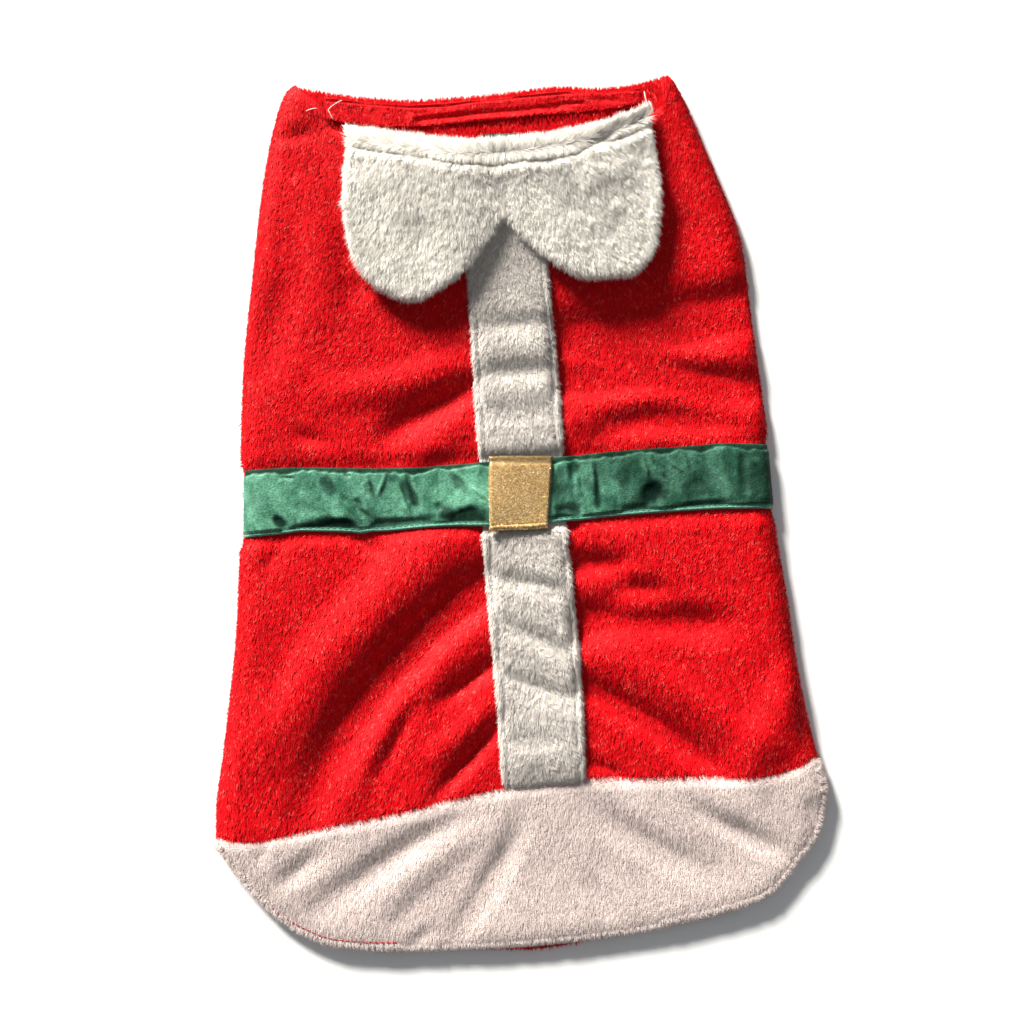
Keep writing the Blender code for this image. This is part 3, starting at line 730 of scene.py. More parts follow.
@dataclass(frozen=True)
class Pile:
    """Blades of pile grown from a cloth's face and gathered in tufts.

    A blade's middle line is root + length * (cos(lean) * u * normal + sin(lean) * u ** bend *
    comb) + u * pull, for u from 0 to 1, where pull draws it towards the middle of its tuft.
    """

    blades: int
    length: float
    width: float
    lean: float
    seed: int
    levels: int = 1
    bend: float = 1.3
    tuft: float = 1.5
    gather: float = 0.3
    swirl: float = 0.45
    stray: float = 0.22
    twist: float = 0.45
    uneven: float = 0.16
    tousle: float = 0.06
    smooth: float = 0.82
    own_tone: float = 0.45
    upward: float = 0.0
    lengths: tuple[float, float] = (0.7, 1.1)
    half_widths: tuple[float, float] = (0.35, 0.6)
    leans: tuple[float, float] = (0.1, 1.5)
    narrowing: float = 0.35
    tuft_slant: tuple[float, float] = (0.9, 0.7)

    def tufts(self, place: Array) -> tuple[Array, Array]:
        """Nearest tuft of each place.

        Args:
            place: x and y of each blade's root.

        Returns:
            The way in plan to the tuft's middle, and three random numbers of the tuft.
        """
        cell = np.floor(place / self.tuft)
        best = np.full(len(place), np.inf)
        pull = np.zeros_like(place)
        own = np.zeros_like(place)
        for i in (-1, 0, 1):
            for j in (-1, 0, 1):
                near = cell + (i, j)
                jitter = stacked(scatter(near, self.seed), scatter(near, self.seed + 9))
                way = (near + jitter) * self.tuft - place
                gap = (way ** 2).sum(axis=-1)
                closer = gap < best
                best = np.where(closer, gap, best)
                pull = np.where(closer[:, None], way, pull)
                own = np.where(closer[:, None], near, own)
        return pull, stacked(*(scatter(own, self.seed + k) for k in (17, 29, 41)))

    def grow(self, face: Face, comb: Array, weight: Array | float = 1.0,
             reach: Array | float = 1.0) -> Mesh:
        """Grow the pile on a face.

        Args:
            face: the backing's upper face.
            comb: the way the pile is brushed, by row and column or one for all.
            weight: how thickly it grows, by row and column.
            reach: share of the pile's length, by row and column.

        Returns:
            The blades, with the share along each and the tone of each.
        """
        rng = np.random.default_rng(self.seed)
        points = face.points
        shape = points.shape[:2]
        across = points[:-1, 1:] - points[:-1, :-1]
        along = points[1:, :-1] - points[:-1, :-1]
        area = np.linalg.norm(np.cross(across, along), axis=-1)
        thick = np.broadcast_to(weight, shape)
        share = area * (thick[:-1, :-1] + thick[1:, 1:] + thick[1:, :-1] + thick[:-1, 1:])
        cells = rng.choice(share.size, size=self.blades, p=(share / share.sum()).ravel())
        row, place = np.divmod(cells, share.shape[1])
        u, v = rng.random((2, self.blades))

        def read(grid: Array) -> Array:
            """The grid's values at the roots, with the four corners weighed by u and v."""
            a, b = (u[:, None], v[:, None]) if grid.ndim == 3 else (u, v)
            low = grid[row, place] * (1 - a) + grid[row, place + 1] * a
            high = grid[row + 1, place] * (1 - a) + grid[row + 1, place + 1] * a
            return low * (1 - b) + high * b

        root = read(points)
        normal = unit(read(face.out))
        way = read(np.broadcast_to(comb, points.shape))
        way = unit(way - normal * (way * normal).sum(axis=-1, keepdims=True))
        spread = rng.uniform(*self.lengths, self.blades)
        length = self.length * read(np.broadcast_to(reach, shape)) * spread
        pull, own = self.tufts(root[:, :2] + root[:, 2:] * self.tuft_slant)
        turn = self.swirl * (own[:, 0] * 2 - 1) + rng.normal(0, self.stray, self.blades)
        way = way * np.cos(turn)[:, None] + np.cross(normal, way) * np.sin(turn)[:, None]
        lean = np.radians(self.lean) * (1 + self.uneven * (own[:, 1] * 2 - 1))
        lean = np.clip(lean + rng.normal(0, self.tousle, self.blades), *self.leans)
        up = (np.cos(lean) * length)[:, None] * normal
        over = (np.sin(lean) * length)[:, None] * way
        drawn = np.concatenate((pull, np.zeros((self.blades, 1))), axis=-1) * self.gather
        turned = rng.normal(0, self.twist, self.blades)[:, None]
        side = unit(np.cross(normal, unit(up + over))) * np.cos(turned) + normal * np.sin(turned)
        half = side * (self.width * rng.uniform(*self.half_widths, self.blades))[:, None]
        face_on = unit(np.cross(unit(up + over), side))
        face_on *= np.where((face_on * normal).sum(axis=-1, keepdims=True) < 0, -1, 1)
        plain = unit(normal + np.array((0.0, 0.0, self.upward)))
        shading = unit(plain * self.smooth + face_on * (1 - self.smooth))
        points = []
        shares = []
        for t in np.arange(self.levels) / self.levels:
            middle = root + up * t + over * t ** self.bend + drawn * t
            narrow = half * (1 - self.narrowing * t)
            points += [middle + narrow, middle - narrow]
            shares += [t, t]
        points.append(root + up + over + drawn)
        shares.append(1.0)
        width = len(points)
        faces = []
        for k in range(0, width - 3, 2):
            faces += [(k, k + 1, k + 3), (k, k + 3, k + 2)]
        faces.append((width - 3, width - 2, width - 1))
        start = np.arange(self.blades)[:, None, None] * width
        tone = (1 - self.own_tone) * own[:, 2] + self.own_tone * rng.random(self.blades)
        return Mesh(
            np.stack(points, axis=1).reshape(-1, 3),
            (start + np.array(faces)[None]).reshape(-1, 3),
            {"along": np.tile(shares, self.blades), "tone": np.repeat(tone, width)},
            np.repeat(shading, width, axis=0),
        )


@dataclass(frozen=True)
class Stitching:
    """A row of stitches: short sunk rolls of thread along a line."""

    pitch: float = 2.6
    share: float = 0.72
    radius: float = 0.17
    rise: float = 0.1
    sides: int = 6
    bends: int = 4
    blunt: float = 0.02

    def sew(self, line: Array, up: Array) -> Mesh:
        """Sew along a line.

        Each stitch is a tube whose radius is radius * sqrt(sin(pi * u)) and whose middle rises by
        rise * sin(pi * u), with u from 0 to 1 along the stitch.

        Args:
            line: points that the row follows.
            up: the way out of the cloth at each.

        Returns:
            The stitches as quads.
        """
        steps = np.linalg.norm(np.diff(line, axis=0), axis=-1)
        run = np.concatenate(((0,), np.cumsum(steps)))
        count = int(run[-1] // self.pitch)
        u = np.linspace(self.blunt, 1 - self.blunt, self.bends + 1)
        at = (np.arange(count)[:, None] + 0.5 + (u - 0.5) * self.share) * self.pitch
        middle = np.stack([np.interp(at, run, line[:, k]) for k in range(3)], axis=-1)
        out = unit(np.stack([np.interp(at, run, up[:, k]) for k in range(3)], axis=-1))
        way = unit(np.gradient(middle, axis=1))
        side = unit(np.cross(way, out))
        middle = middle + out * (self.rise * np.sin(math.pi * u))[None, :, None]
        return rolls(middle, side, out, self.radius * np.sqrt(np.sin(math.pi * u)), self.sides)


def rolls(middle: Array, side: Array, up: Array, thick: Array, sides: int) -> Mesh:
    """Round rolls about rows of points.

    Args:
        middle: points of each roll's middle line, by roll and step.
        side: unit vectors across each roll.
        up: unit vectors that stand on both.
        thick: radius at each step.
        sides: sides of the round.

    Returns:
        The rolls as quads.
    """
    turn = np.linspace(0, 2 * math.pi, sides, endpoint=False)[:, None]
    ring = side[..., None, :] * np.cos(turn) + up[..., None, :] * np.sin(turn)
    points = middle[..., None, :] + ring * thick[:, None, None]
    k = np.arange(points.size // 3).reshape(points.shape[:-1])
    nxt = np.roll(k, -1, axis=-1)
    faces = np.stack((k[:, :-1], k[:, 1:], nxt[:, 1:], nxt[:, :-1]), axis=-1)
    return Mesh(points.reshape(-1, 3), faces.reshape(-1, 4))


def tube(line: Array, radius: float, sides: int = 8) -> Mesh:
    """Round thread along a line of points, drawn to a point at both ends."""
    leaning = np.array((0.2, 0.3, 1.0))
    way = unit(np.gradient(line, axis=0))
    side = unit(np.cross(way, leaning))
    ends = np.sqrt(np.sin(np.linspace(0.03, 0.97, len(line)) * math.pi))
    thick = radius * np.minimum(ends * 1.6, 1)
    roll = rolls(line[None], side[None], np.cross(way, side)[None], thick, sides)
    # Its round runs the other way than a stitch's, so the faces are turned over
    return Mesh(roll.points, roll.faces[:, (0, 3, 2, 1)])


class Value:
    """A number in a material's node tree, with Python's operators as Math nodes."""

    def __init__(self, shading: "Shading", socket: bpy.types.NodeSocket) -> None:
        """Hold one socket of the tree."""
        self.shading = shading
        self.socket = socket

    def maths(self, operation: str, first: object, second: object = 0.0) -> "Value":
        """One Math node."""
        return self.shading.add("ShaderNodeMath", {"operation": operation}, {0: first, 1: second})

    def __add__(self, other: object) -> "Value":
        """Sum."""
        return self.maths("ADD", self, other)

    __radd__ = __add__

    def __sub__(self, other: object) -> "Value":
        """Difference."""
        return self.maths("SUBTRACT", self, other)

    def __rsub__(self, other: object) -> "Value":
        """Difference from a number."""
        return self.maths("SUBTRACT", other, self)

    def __mul__(self, other: object) -> "Value":
        """Product."""
        return self.maths("MULTIPLY", self, other)

    __rmul__ = __mul__

    def wave(self) -> "Value":
        """A wave from 0 to 1 over the value in radians."""
        return self.maths("SINE", self) * 0.5 + 0.5

    def step(self, low: float, high: float) -> "Value":
        """0 below low, 1 above high, and a soft step between them."""
        settings = {"interpolation_type": "SMOOTHSTEP"}
        return self.shading.add("ShaderNodeMapRange", settings, {0: self, 1: low, 2: high})


class Shading:
    """A material's node tree, built on its Principled shader."""

    def __init__(self, name: str) -> None:
        """Start a material."""
        self.material = bpy.data.materials.new(name)
        self.material.use_nodes = True
        self.tree = self.material.node_tree
        self.surface = self.tree.nodes["Principled BSDF"]

    def set(self, socket: bpy.types.NodeSocket, value: object) -> None:
        """Give a socket a number, a colour or a link."""
        if isinstance(value, Value):
            self.tree.links.new(value.socket, socket)
        elif isinstance(value, tuple) and socket.type == "RGBA":
            socket.default_value = (*value, 1.0)
        else:
            socket.default_value = value

    def add(self, kind: str, settings: Mapping[str, object], inputs: Mapping[object, object],
            output: int | str = 0) -> Value:
        """Add one node.

        Args:
            kind: the node's type.
            settings: its own settings, set first.
            inputs: numbers, colours or links of its sockets, by number or name.
            output: the output that is used.

        Returns:
            That output.
        """
        node = self.tree.nodes.new(kind)
        for key, setting in settings.items():
            setattr(node, key, setting)
        for key, value in inputs.items():
            self.set(node.inputs[key], value)
        return Value(self, node.outputs[output])

    def put(self, name: str, value: object) -> None:
        """Set one socket of the Principled shader."""
        self.set(self.surface.inputs[name], value)

    def place(self) -> Value:
        """Object coordinates, in metres."""
        return self.add("ShaderNodeTexCoord", {}, {}, "Object")

    def part(self, vector: Value, axis: str) -> Value:
        """One component of a vector."""
        return self.add("ShaderNodeSeparateXYZ", {}, {0: vector}, axis)

    def stretched(self, vector: Value, scale: tuple[float, float, float], turn: float = 0.0) -> Value:
        """A vector turned about Z and stretched, to give a pattern a direction."""
        inputs = {"Vector": vector, "Rotation": (0.0, 0.0, turn), "Scale": scale}
        return self.add("ShaderNodeMapping", {}, inputs)

    def noise(self, vector: Value, size: float, detail: float = 2.0, rough: float = 0.5) -> Value:
        """Noise from 0 to 1 whose blots are about the given size in millimetres."""
        inputs = {"Vector": vector, "Scale": 1.0 / (size * MM), "Detail": detail, "Roughness": rough}
        return self.add("ShaderNodeTexNoise", {}, inputs)

    def cells(self, vector: Value, size: float, output: str = "Distance") -> Value:
        """Random cells of about the given size in millimetres."""
        return self.add("ShaderNodeTexVoronoi", {}, {"Vector": vector, "Scale": 1.0 / (size * MM)}, output)

    def attribute(self, name: str) -> Value:
        """A number stored on the mesh."""
        return self.add("ShaderNodeAttribute", {"attribute_name": name}, {}, "Fac")

    def blend(self, share: Value | float, first: object, second: object) -> Value:
        """Colour that goes from the first to the second."""
        return self.add("ShaderNodeMix", {"data_type": "RGBA"}, {0: share, 6: first, 7: second}, 2)

    def shaded(self, colour: object, factor: Value) -> Value:
        """A colour made darker or lighter by a number."""
        grey = self.add("ShaderNodeCombineXYZ", {}, {0: factor, 1: factor, 2: factor})
        settings = {"data_type": "RGBA", "blend_type": "MULTIPLY", "clamp_result": False}
        return self.add("ShaderNodeMix", settings, {0: 1.0, 6: colour, 7: grey}, 2)

    def bumped(self, height: Value, depth: float) -> None:
        """Raise the surface by a height from 0 to 1, for a depth in millimetres."""
        inputs = {"Strength": 1.0, "Distance": depth * MM, "Height": height}
        self.put("Normal", self.add("ShaderNodeBump", {}, inputs))


@dataclass(frozen=True)
class Finish:
    """What a cloth or a thread is made of. Each kind of finish paints its own node tree."""

    name: str

    def material(self) -> bpy.types.Material:
        """The finish's material."""
        shading = Shading(self.name)
        self.paint(shading)
        return shading.material

    def paint(self, s: Shading) -> None:
        """Set up the finish's shader."""
        raise NotImplementedError


@dataclass(frozen=True)
class PileFinish(Finish):
    """Pile: dark at the root as painted shade, its own colour along it, and a painted glint at some tips."""

    root: Colour
    body: Colour
    tip_glint: Colour
    contrast: float = 0.55
    patches: float = 0.3
    glints: float = 0.45
    roughness: float = 0.6

    def paint(self, s: Shading) -> None:
        """Set up the pile's shader."""
        along = s.attribute("along")
        tone = s.attribute("tone")
        patches = s.noise(s.place(), 14, 3)
        # The root colour is painted shade between the blades, and the tip glint colour a painted glint on
        # some blades
        colour = s.blend(along.step(0.0, 0.55), self.root, self.body)
        colour = s.blend(along.step(0.3, 1.0) * tone.step(self.glints, 0.97), colour, self.tip_glint)
        base = 1.0 - self.contrast / 2 - self.patches / 2
        s.put("Base Color", s.shaded(colour, base + tone * self.contrast + patches * self.patches))
        s.put("Roughness", self.roughness)
        s.put("Specular IOR Level", 0.1)


@dataclass(frozen=True)
class KnitFinish(Finish):
    """Knitted backing: ribs and rows of loops, with nap that blurs them, and painted shade where the loops
    sink.
    """

    colour: Colour
    valley_shade: Colour
    pitch: float = 1.1
    nap: float = 0.5
    depth: float = 0.25

    def paint(self, s: Shading) -> None:
        """Set up the backing's shader."""
        place = s.place()
        wave = 2 * math.pi / (self.pitch * MM)
        bend = s.noise(place, 9, 2) * 1.6
        ribs = (s.part(place, "X") * wave + bend).wave()
        rows = (s.part(place, "Y") * wave * 1.25 + bend).wave()
        loops = ribs * 0.55 + rows * 0.45
        nap = s.noise(place, 0.55, 3, 0.6)
        height = loops * (1 - self.nap) + nap * self.nap
        broad = s.noise(place, 16, 3)
        # The valley colour is painted shade where the loops sink
        colour = s.blend(height.step(0.25, 0.7), self.valley_shade, self.colour)
        s.put("Base Color", s.shaded(colour, 0.86 + broad * 0.28))
        s.put("Roughness", 0.85 - nap * 0.15)
        s.put("Specular IOR Level", 0.15)
        s.bumped(height, self.depth)


@dataclass(frozen=True)
class SatinFinish(Finish):
    """Satin: fine close threads across the belt, a painted cloudy sheen, and painted shade where it is
    creased.
    """

    colour: Colour
    light: Colour
    dark: Colour
    edge: Colour
    roughness: float = 0.46

    def paint(self, s: Shading) -> None:
        """Set up the satin's shader."""
        place = s.place()
        clouds = s.noise(s.stretched(place, (1.0, 0.55, 1.0), 0.35), 8, 3, 0.6)
        wave = 2 * math.pi / (0.42 * MM)
        threads = (s.part(place, "Y") * wave + s.noise(place, 6, 2) * 3).wave()
        grain = s.noise(s.stretched(place, (0.6, 1.0, 1.0)), 0.5, 2, 0.7)
        # The light colour is a painted sheen in clouds; the dark colour is painted shade, blended in by the
        # belt's painted shade values
        colour = s.blend(clouds.step(0.3, 0.7), self.colour, self.light)
        hollow = s.attribute("hollow")
        colour = s.blend(s.attribute("edge") * 0.8, s.blend(hollow, colour, self.dark), self.edge)
        s.put("Base Color", s.shaded(colour, grain * 2.4 - 0.2))
        s.put("Roughness", self.roughness + clouds * 0.16)
        s.put("Specular IOR Level", 0.03)
        s.put("Coat Weight", 0.22 - hollow * 0.22)
        s.put("Coat Roughness", 0.42)
        creases = s.noise(s.stretched(place, (1.0, 0.4, 1.0), -0.5), 3.0, 4, 0.65)
        s.bumped(threads * 0.1 + grain * 0.4 + creases, 0.4)


@dataclass(frozen=True)
class LameFinish(Finish):
    """Glitter cloth: flakes of metal that each face their own way, in a dull ground, with painted shade."""

    ground: Colour
    flake: Colour
    glint: Colour
    shade: Colour
    size: float = 0.45

    def paint(self, s: Shading) -> None:
        """Set up the glitter cloth's shader."""
        place = s.place()
        chance = s.part(s.cells(place, self.size, "Color"), "X")
        edge = s.cells(place, self.size)
        grain = s.noise(place, 0.3, 2)
        colour = s.blend(chance.step(0.15, 0.6), self.ground, self.flake)
        colour = s.blend(chance.step(0.78, 0.95), colour, self.glint)
        # The shade colour is painted shade on the patch's turned-under top lip, under it and in its groove
        colour = s.blend(s.attribute("hollow") * 0.85, colour, self.shade)
        s.put("Base Color", s.shaded(colour, 0.5 + grain))
        s.put("Metallic", 0.35 + chance * 0.5)
        s.put("Roughness", 0.52 - chance * 0.26)
        s.bumped(chance * 0.6 + (1 - edge) * 0.25 + grain * 0.3, 0.16)


@dataclass(frozen=True)
class ThreadFinish(Finish):
    """Thread or woven tape: one colour, crossed by fine ridges, with painted shade between them."""

    colour: Colour
    pitch: float = 0.35
    roughness: float = 0.6

    def paint(self, s: Shading) -> None:
        """Set up the thread's shader."""
        place = s.place()
        wave = 2 * math.pi / (self.pitch * MM)
        ply = ((s.part(place, "X") + s.part(place, "Y") * 0.7) * wave).wave()
        # The colour is painted darker in the grooves between the ridges, as shade
        s.put("Base Color", s.shaded(self.colour, 0.8 + ply * 0.25 + s.noise(place, 1.5) * 0.15))
        s.put("Roughness", self.roughness)
        s.put("Specular IOR Level", 0.08)
        s.bumped(ply, 0.06)


# Root colours and knit valley colours are painted shade, and tip glint colours are painted glints
RED_PILE = PileFinish("red_pile", (0.54, 0.0006, 0.003), (0.74, 0.0025, 0.008), (1.0, 0.22, 0.17), 0.33,
                      0.34, 0.66)
RED_KNIT = KnitFinish("red_backing", (0.62, 0.001, 0.005), (0.40, 0.0005, 0.003))
WHITE_PILE = PileFinish("white_pile", (0.60, 0.57, 0.52), (0.77, 0.735, 0.67), (1.0, 0.98, 0.92), 0.54,
                        0.28, 0.4)
# The strip's copy of the white pile, darker and pinker than the collar's: painted shade and painted pink
# bounce light from the red back
SHADED_STRIP_PILE = PileFinish("strip_pile", (0.54, 0.495, 0.455), (0.66, 0.61, 0.56), (1.0, 0.95, 0.88), 0.5,
                        0.3, 0.4)
WHITE_KNIT = KnitFinish("white_backing", (0.70, 0.67, 0.63), (0.52, 0.50, 0.47))
# The hem's root and valley colours are painted shade with a painted pink bounce from the red cloth
HEM_PILE = PileFinish("hem_pile", (0.71, 0.56, 0.53), (0.74, 0.63, 0.59), (1.0, 0.95, 0.89), 0.2, 0.2,
                      0.55)
HEM_KNIT = KnitFinish("hem_backing", (0.78, 0.67, 0.63), (0.64, 0.51, 0.48), nap=0.35)
GREEN_SATIN = SatinFinish("green_satin_cloth", (0.026, 0.110, 0.066), (0.108, 0.296, 0.194),
                          (0.0015, 0.010, 0.006), (0.13, 0.33, 0.25))
GOLD_LAME = LameFinish("gold_glitter_cloth", (0.29, 0.17, 0.058), (0.64, 0.41, 0.165),
                       (0.98, 0.84, 0.52), (0.13, 0.085, 0.03))
BLACK_TAPE = ThreadFinish("black_tape_cloth", (0.014, 0.015, 0.015), 0.5, 0.7)
RED_THREAD = ThreadFinish("red_thread", (0.42, 0.012, 0.02))
WHITE_THREAD = ThreadFinish("white_thread", (0.86, 0.78, 0.76))
GREEN_THREAD = ThreadFinish("green_thread", (0.035, 0.20, 0.12))


@dataclass
class Cloth:
    """A cloth of the garment, laid on its shape."""

    garment: Garment


@dataclass
class BackPanel(Cloth):
    """Back of the tube, red plush from the hem seam to the neck."""

    seam_round: float = 0.8
    neck_round: float = 1.8
    edge_share: float = 0.4
    belt_cover: float = 1.5
    strip_cover: float = 2.0
    strip_top: float = 136.0
    collar_x: float = 5.0
    collar_half_width: float = 50.0
    collar_y: tuple[float, float] = (122.0, 140.0)
    collar_growth: float = 0.2
    pile: Pile = Pile(blades=196_000, length=2.2, width=0.34, lean=77, seed=11, gather=0.18, swirl=0.5,
                      uneven=0.07, smooth=0.86, own_tone=0.6)

    def build(self) -> None:
        """Make the cloth and its pile."""
        inner = self.lying()
        outer = inner.raised(BACKING * self.edges(inner))
        cloth = wall(inner.points, outer.points).piece("back_cloth", RED_KNIT, Slot.RED)
        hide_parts("back_panel")
        comb = stacked(-0.35 + 0.4 * soft_noise(outer.x, outer.y, 45, 2), -1.0, 0.0)
        pile = self.pile.grow(outer, comb, self.bare(outer)).piece("back_pile", RED_PILE, Slot.RED)

    def lying(self) -> Face:
        """Inner face of the panel, clear of the hem band by half the seam's gap."""
        whole = self.garment.inner
        rows = slice(self.garment.hem_rows, None)
        points = whole.points[rows].copy()
        points[0, :, 1] += GAP / 2
        return Face(points, whole.out[rows])

    def edges(self, inner: Face) -> Array:
        """Share of the thickness, drawn in at the hem seam and rounded at the neck."""
        low = dome(inner.y - inner.y[:1], self.seam_round)
        high = dome(inner.y[-1:] - inner.y, self.neck_round)
        return self.edge_share + (1 - self.edge_share) * low * high

    def bare(self, face: Face) -> Array:
        """How thickly the pile grows: not under the belt or the strip, thinly under the collar."""
        x, y = face.x, face.y
        left, right = self.garment.left(y), self.garment.right(y)
        share = (x - left) / (right - left)
        low = through(ACROSS, "s", "belt_low", share) + self.belt_cover
        high = through(ACROSS, "s", "belt_high", share) - self.belt_cover
        under_belt = (y > low) & (y < high)
        under_strip = (from_strip(x, y) < -self.strip_cover) & (y < self.strip_top)
        under_collar = np.abs(x - self.collar_x) < self.collar_half_width
        under_collar &= (y > self.collar_y[0]) & (y < self.collar_y[1])
        return np.where(under_belt | under_strip, 0.0, np.where(under_collar, self.collar_growth, 1.0))


@dataclass
class HemBand(Cloth):
    """White band sewn to the back's lower edge, knitted rows showing through a thin pile."""

    seam_round: float = 0.8
    seam_fade: tuple[float, float] = (0.6, 2.6)
    seam_growth: float = 1.2
    edge_share: float = 0.6
    stitched_row: int = 3
    stitched_to: float = -46.0
    parting: float = 0.55
    parted_growth: float = 0.03
    fringe_width: float = 0.6
    pile: Pile = Pile(blades=105_000, length=1.9, width=0.24, lean=75, seed=23, swirl=0.3, gather=0.0,
                      smooth=0.92, uneven=0.04, own_tone=0.85, upward=0.6)
    fringe: Pile = Pile(blades=12_000, length=2.2, width=0.22, lean=55, seed=27, levels=2, tuft=1.2,
                        gather=0.1, stray=0.35, smooth=0.9, own_tone=0.8, upward=2.0)
    stitching: Stitching = Stitching(pitch=2.2, share=0.9, radius=0.2)

    def build(self) -> None:
        """Make the cloth, its pile and fringe, and the red stitches along its lower left corner."""
        whole = self.garment.inner
        rows = slice(0, self.garment.hem_rows + 1)
        points = whole.points[rows].copy()
        points[-1, :, 1] -= GAP / 2
        inner = Face(points, whole.out[rows])
        below_seam = inner.y[-1:] - inner.y
        at_seam = 1 - ease(below_seam, *self.seam_fade)
        full = self.edge_share + (1 - self.edge_share) * dome(below_seam, self.seam_round)
        outer = inner.raised(BACKING * full)
        cloth = wall(inner.points, outer.points).piece("hem_cloth", HEM_KNIT, Slot.WHITE)
        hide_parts("hem_band")
        from_edge = distance_to_line(outer.x, outer.y, self.garment.rim[len(points):-len(points)])
        stitches = from_edge[self.stitched_row].mean()
        parted = (np.abs(from_edge - stitches) < self.parting) & (outer.x < self.stitched_to)
        comb = stacked(-0.1, 1.5 * at_seam - 1.0, 0.0)
        growth = np.where(parted, self.parted_growth, 1.0 + self.seam_growth * at_seam)
        pile = self.pile.grow(outer, comb, growth)
        away = whole.out[rows] * (1, 1, 0) + (0, -0.2, -0.5)
        fringe = self.fringe.grow(outer, away, np.where(from_edge < self.fringe_width, 1.0, 0.0))
        pile = pile.joined(fringe).piece("hem_pile", HEM_PILE, Slot.WHITE)
        left = outer.x[self.stitched_row] < self.stitched_to
        up = outer.out[self.stitched_row][left]
        thread = self.stitching.sew(outer.points[self.stitched_row][left] + up * 0.3, up)
        thread = thread.piece("hem_thread", RED_THREAD, Slot.RED)


@dataclass
class PlacketStrip(Cloth):
    """White strip down the back, which bridges its folds, stitched down near both edges."""

    across: int = 34
    along: int = 150
    crowding: float = 0.35
    low_y: float = -110.1
    low_slope: float = 0.9
    high_y: float = 133.0
    backing: float = 1.25
    bridge: float = 0.8
    bridge_softness: float = 0.5
    bridge_at_edge: float = 0.3
    bridge_width: float = 6.0
    sinking: float = 0.9
    sunk_always: float = 0.7
    end_length: float = 6.0
    tuck: float = 1.1
    tuck_length: float = 14.0
    stitch_inset: float = 2.5
    groove: float = 0.3
    groove_half_width: float = 1.1
    edge_round: float = 1.4
    edge_share: float = 0.3
    least: float = 0.3
    collar_y: float = 122.0
    hidden_growth: float = 0.05
    pile: Pile = Pile(blades=92_000, length=2.6, width=0.25, lean=71, seed=31, tuft=1.3, gather=0.2,
                      swirl=0.32, stray=0.26, smooth=0.82, uneven=0.06, tousle=0.1, own_tone=0.6)
    stitching: Stitching = Stitching(pitch=2.8, radius=0.15)

    def build(self) -> None:
        """Make the strip, its pile and its two rows of stitches."""
        s = crowded(self.across, self.crowding)[None, :]
        low = self.low_y + self.low_slope * s
        y = low + (self.high_y - low) * np.linspace(0, 1, self.along)[:, None]
        left, right = sides_at(STRIP_EDGES, y)
        x = left + (right - left) * s
        beside = np.minimum(x - left, right - x)
        from_low = y - low
        under_belt = self.garment.near_belt(y)
        inner = self.lying(x, y, beside, from_low)
        pressed = np.maximum(under_belt, ease(y, *UNDER_COLLAR))
        full = (STRIP + (STRIP_PRESSED - STRIP) * pressed) / STRIP * self.backing
        sunk = self.groove * bell((beside - self.stitch_inset) / self.groove_half_width)
        rounded = dome(beside, self.edge_round) * (0.5 + 0.5 * ease(from_low, 0, 2))
        thick = full * (self.edge_share + (1 - self.edge_share) * rounded) - sunk * full / self.backing
        outer = inner.raised(np.maximum(thick, self.least)).reshaped()
        cloth = wall(inner.points, outer.points).piece("strip_cloth", WHITE_KNIT, Slot.WHITE)
        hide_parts("placket_strip")
        comb = stacked(0.25 * np.sign(s - 0.5) + 0 * y, -1.0, 0.0)
        off_seam = ease(np.abs(beside - self.stitch_inset), 0.2, 1.2)
        hidden = (under_belt > 0.9) | (y > self.collar_y)
        weight = np.where(hidden, self.hidden_growth, 1.0) * (0.6 + 0.4 * off_seam)
        reach = (0.7 + 0.3 * off_seam) * (0.35 + 0.65 * ease(from_low, 0.5, 4))
        pile = self.pile.grow(outer, comb, weight, reach).piece("strip_pile", SHADED_STRIP_PILE, Slot.WHITE)
        thread = self.rows(outer, beside).piece("strip_thread", WHITE_THREAD, Slot.WHITE)

    def lying(self, x: Array, y: Array, beside: Array, from_low: Array) -> Face:
        """Inner face of the strip, which bridges the back's folds and is tucked into the hem seam."""
        back = self.garment.crown(x, y)
        held = self.bridge_at_edge + (1 - self.bridge_at_edge) * ease(beside, 0, self.bridge_width)
        over = (self.garment.crown(x, y, STRIP_FOLDS) - back) * held + self.bridge
        bridging = back - self.bridge + soft_floor(over, self.bridge_softness)
        at_ends = np.maximum(self.garment.near_belt(y), 1 - ease(from_low, 0, self.end_length))
        sunk = self.sinking * (self.sunk_always + (1 - self.sunk_always) * at_ends)
        tucked = self.tuck * (1 - ease(from_low, 0, self.tuck_length))
        points = stacked(x, y, bridging + (PLUSH + GAP - sunk - tucked))
        return Face(points, outward(points))

    def rows(self, outer: Face, beside: Array) -> Mesh:
        """The two rows of stitches, in the grooves."""
        half = self.across // 2
        sewn = []
        for part in (slice(0, half), slice(half, None)):
            place = np.abs(beside[0, part] - self.stitch_inset).argmin() + (part.start or 0)
            line = outer.points[:, place] + outer.out[:, place] * 0.1
            sewn.append(self.stitching.sew(line, outer.out[:, place]))
        return sewn[0].joined(sewn[1])


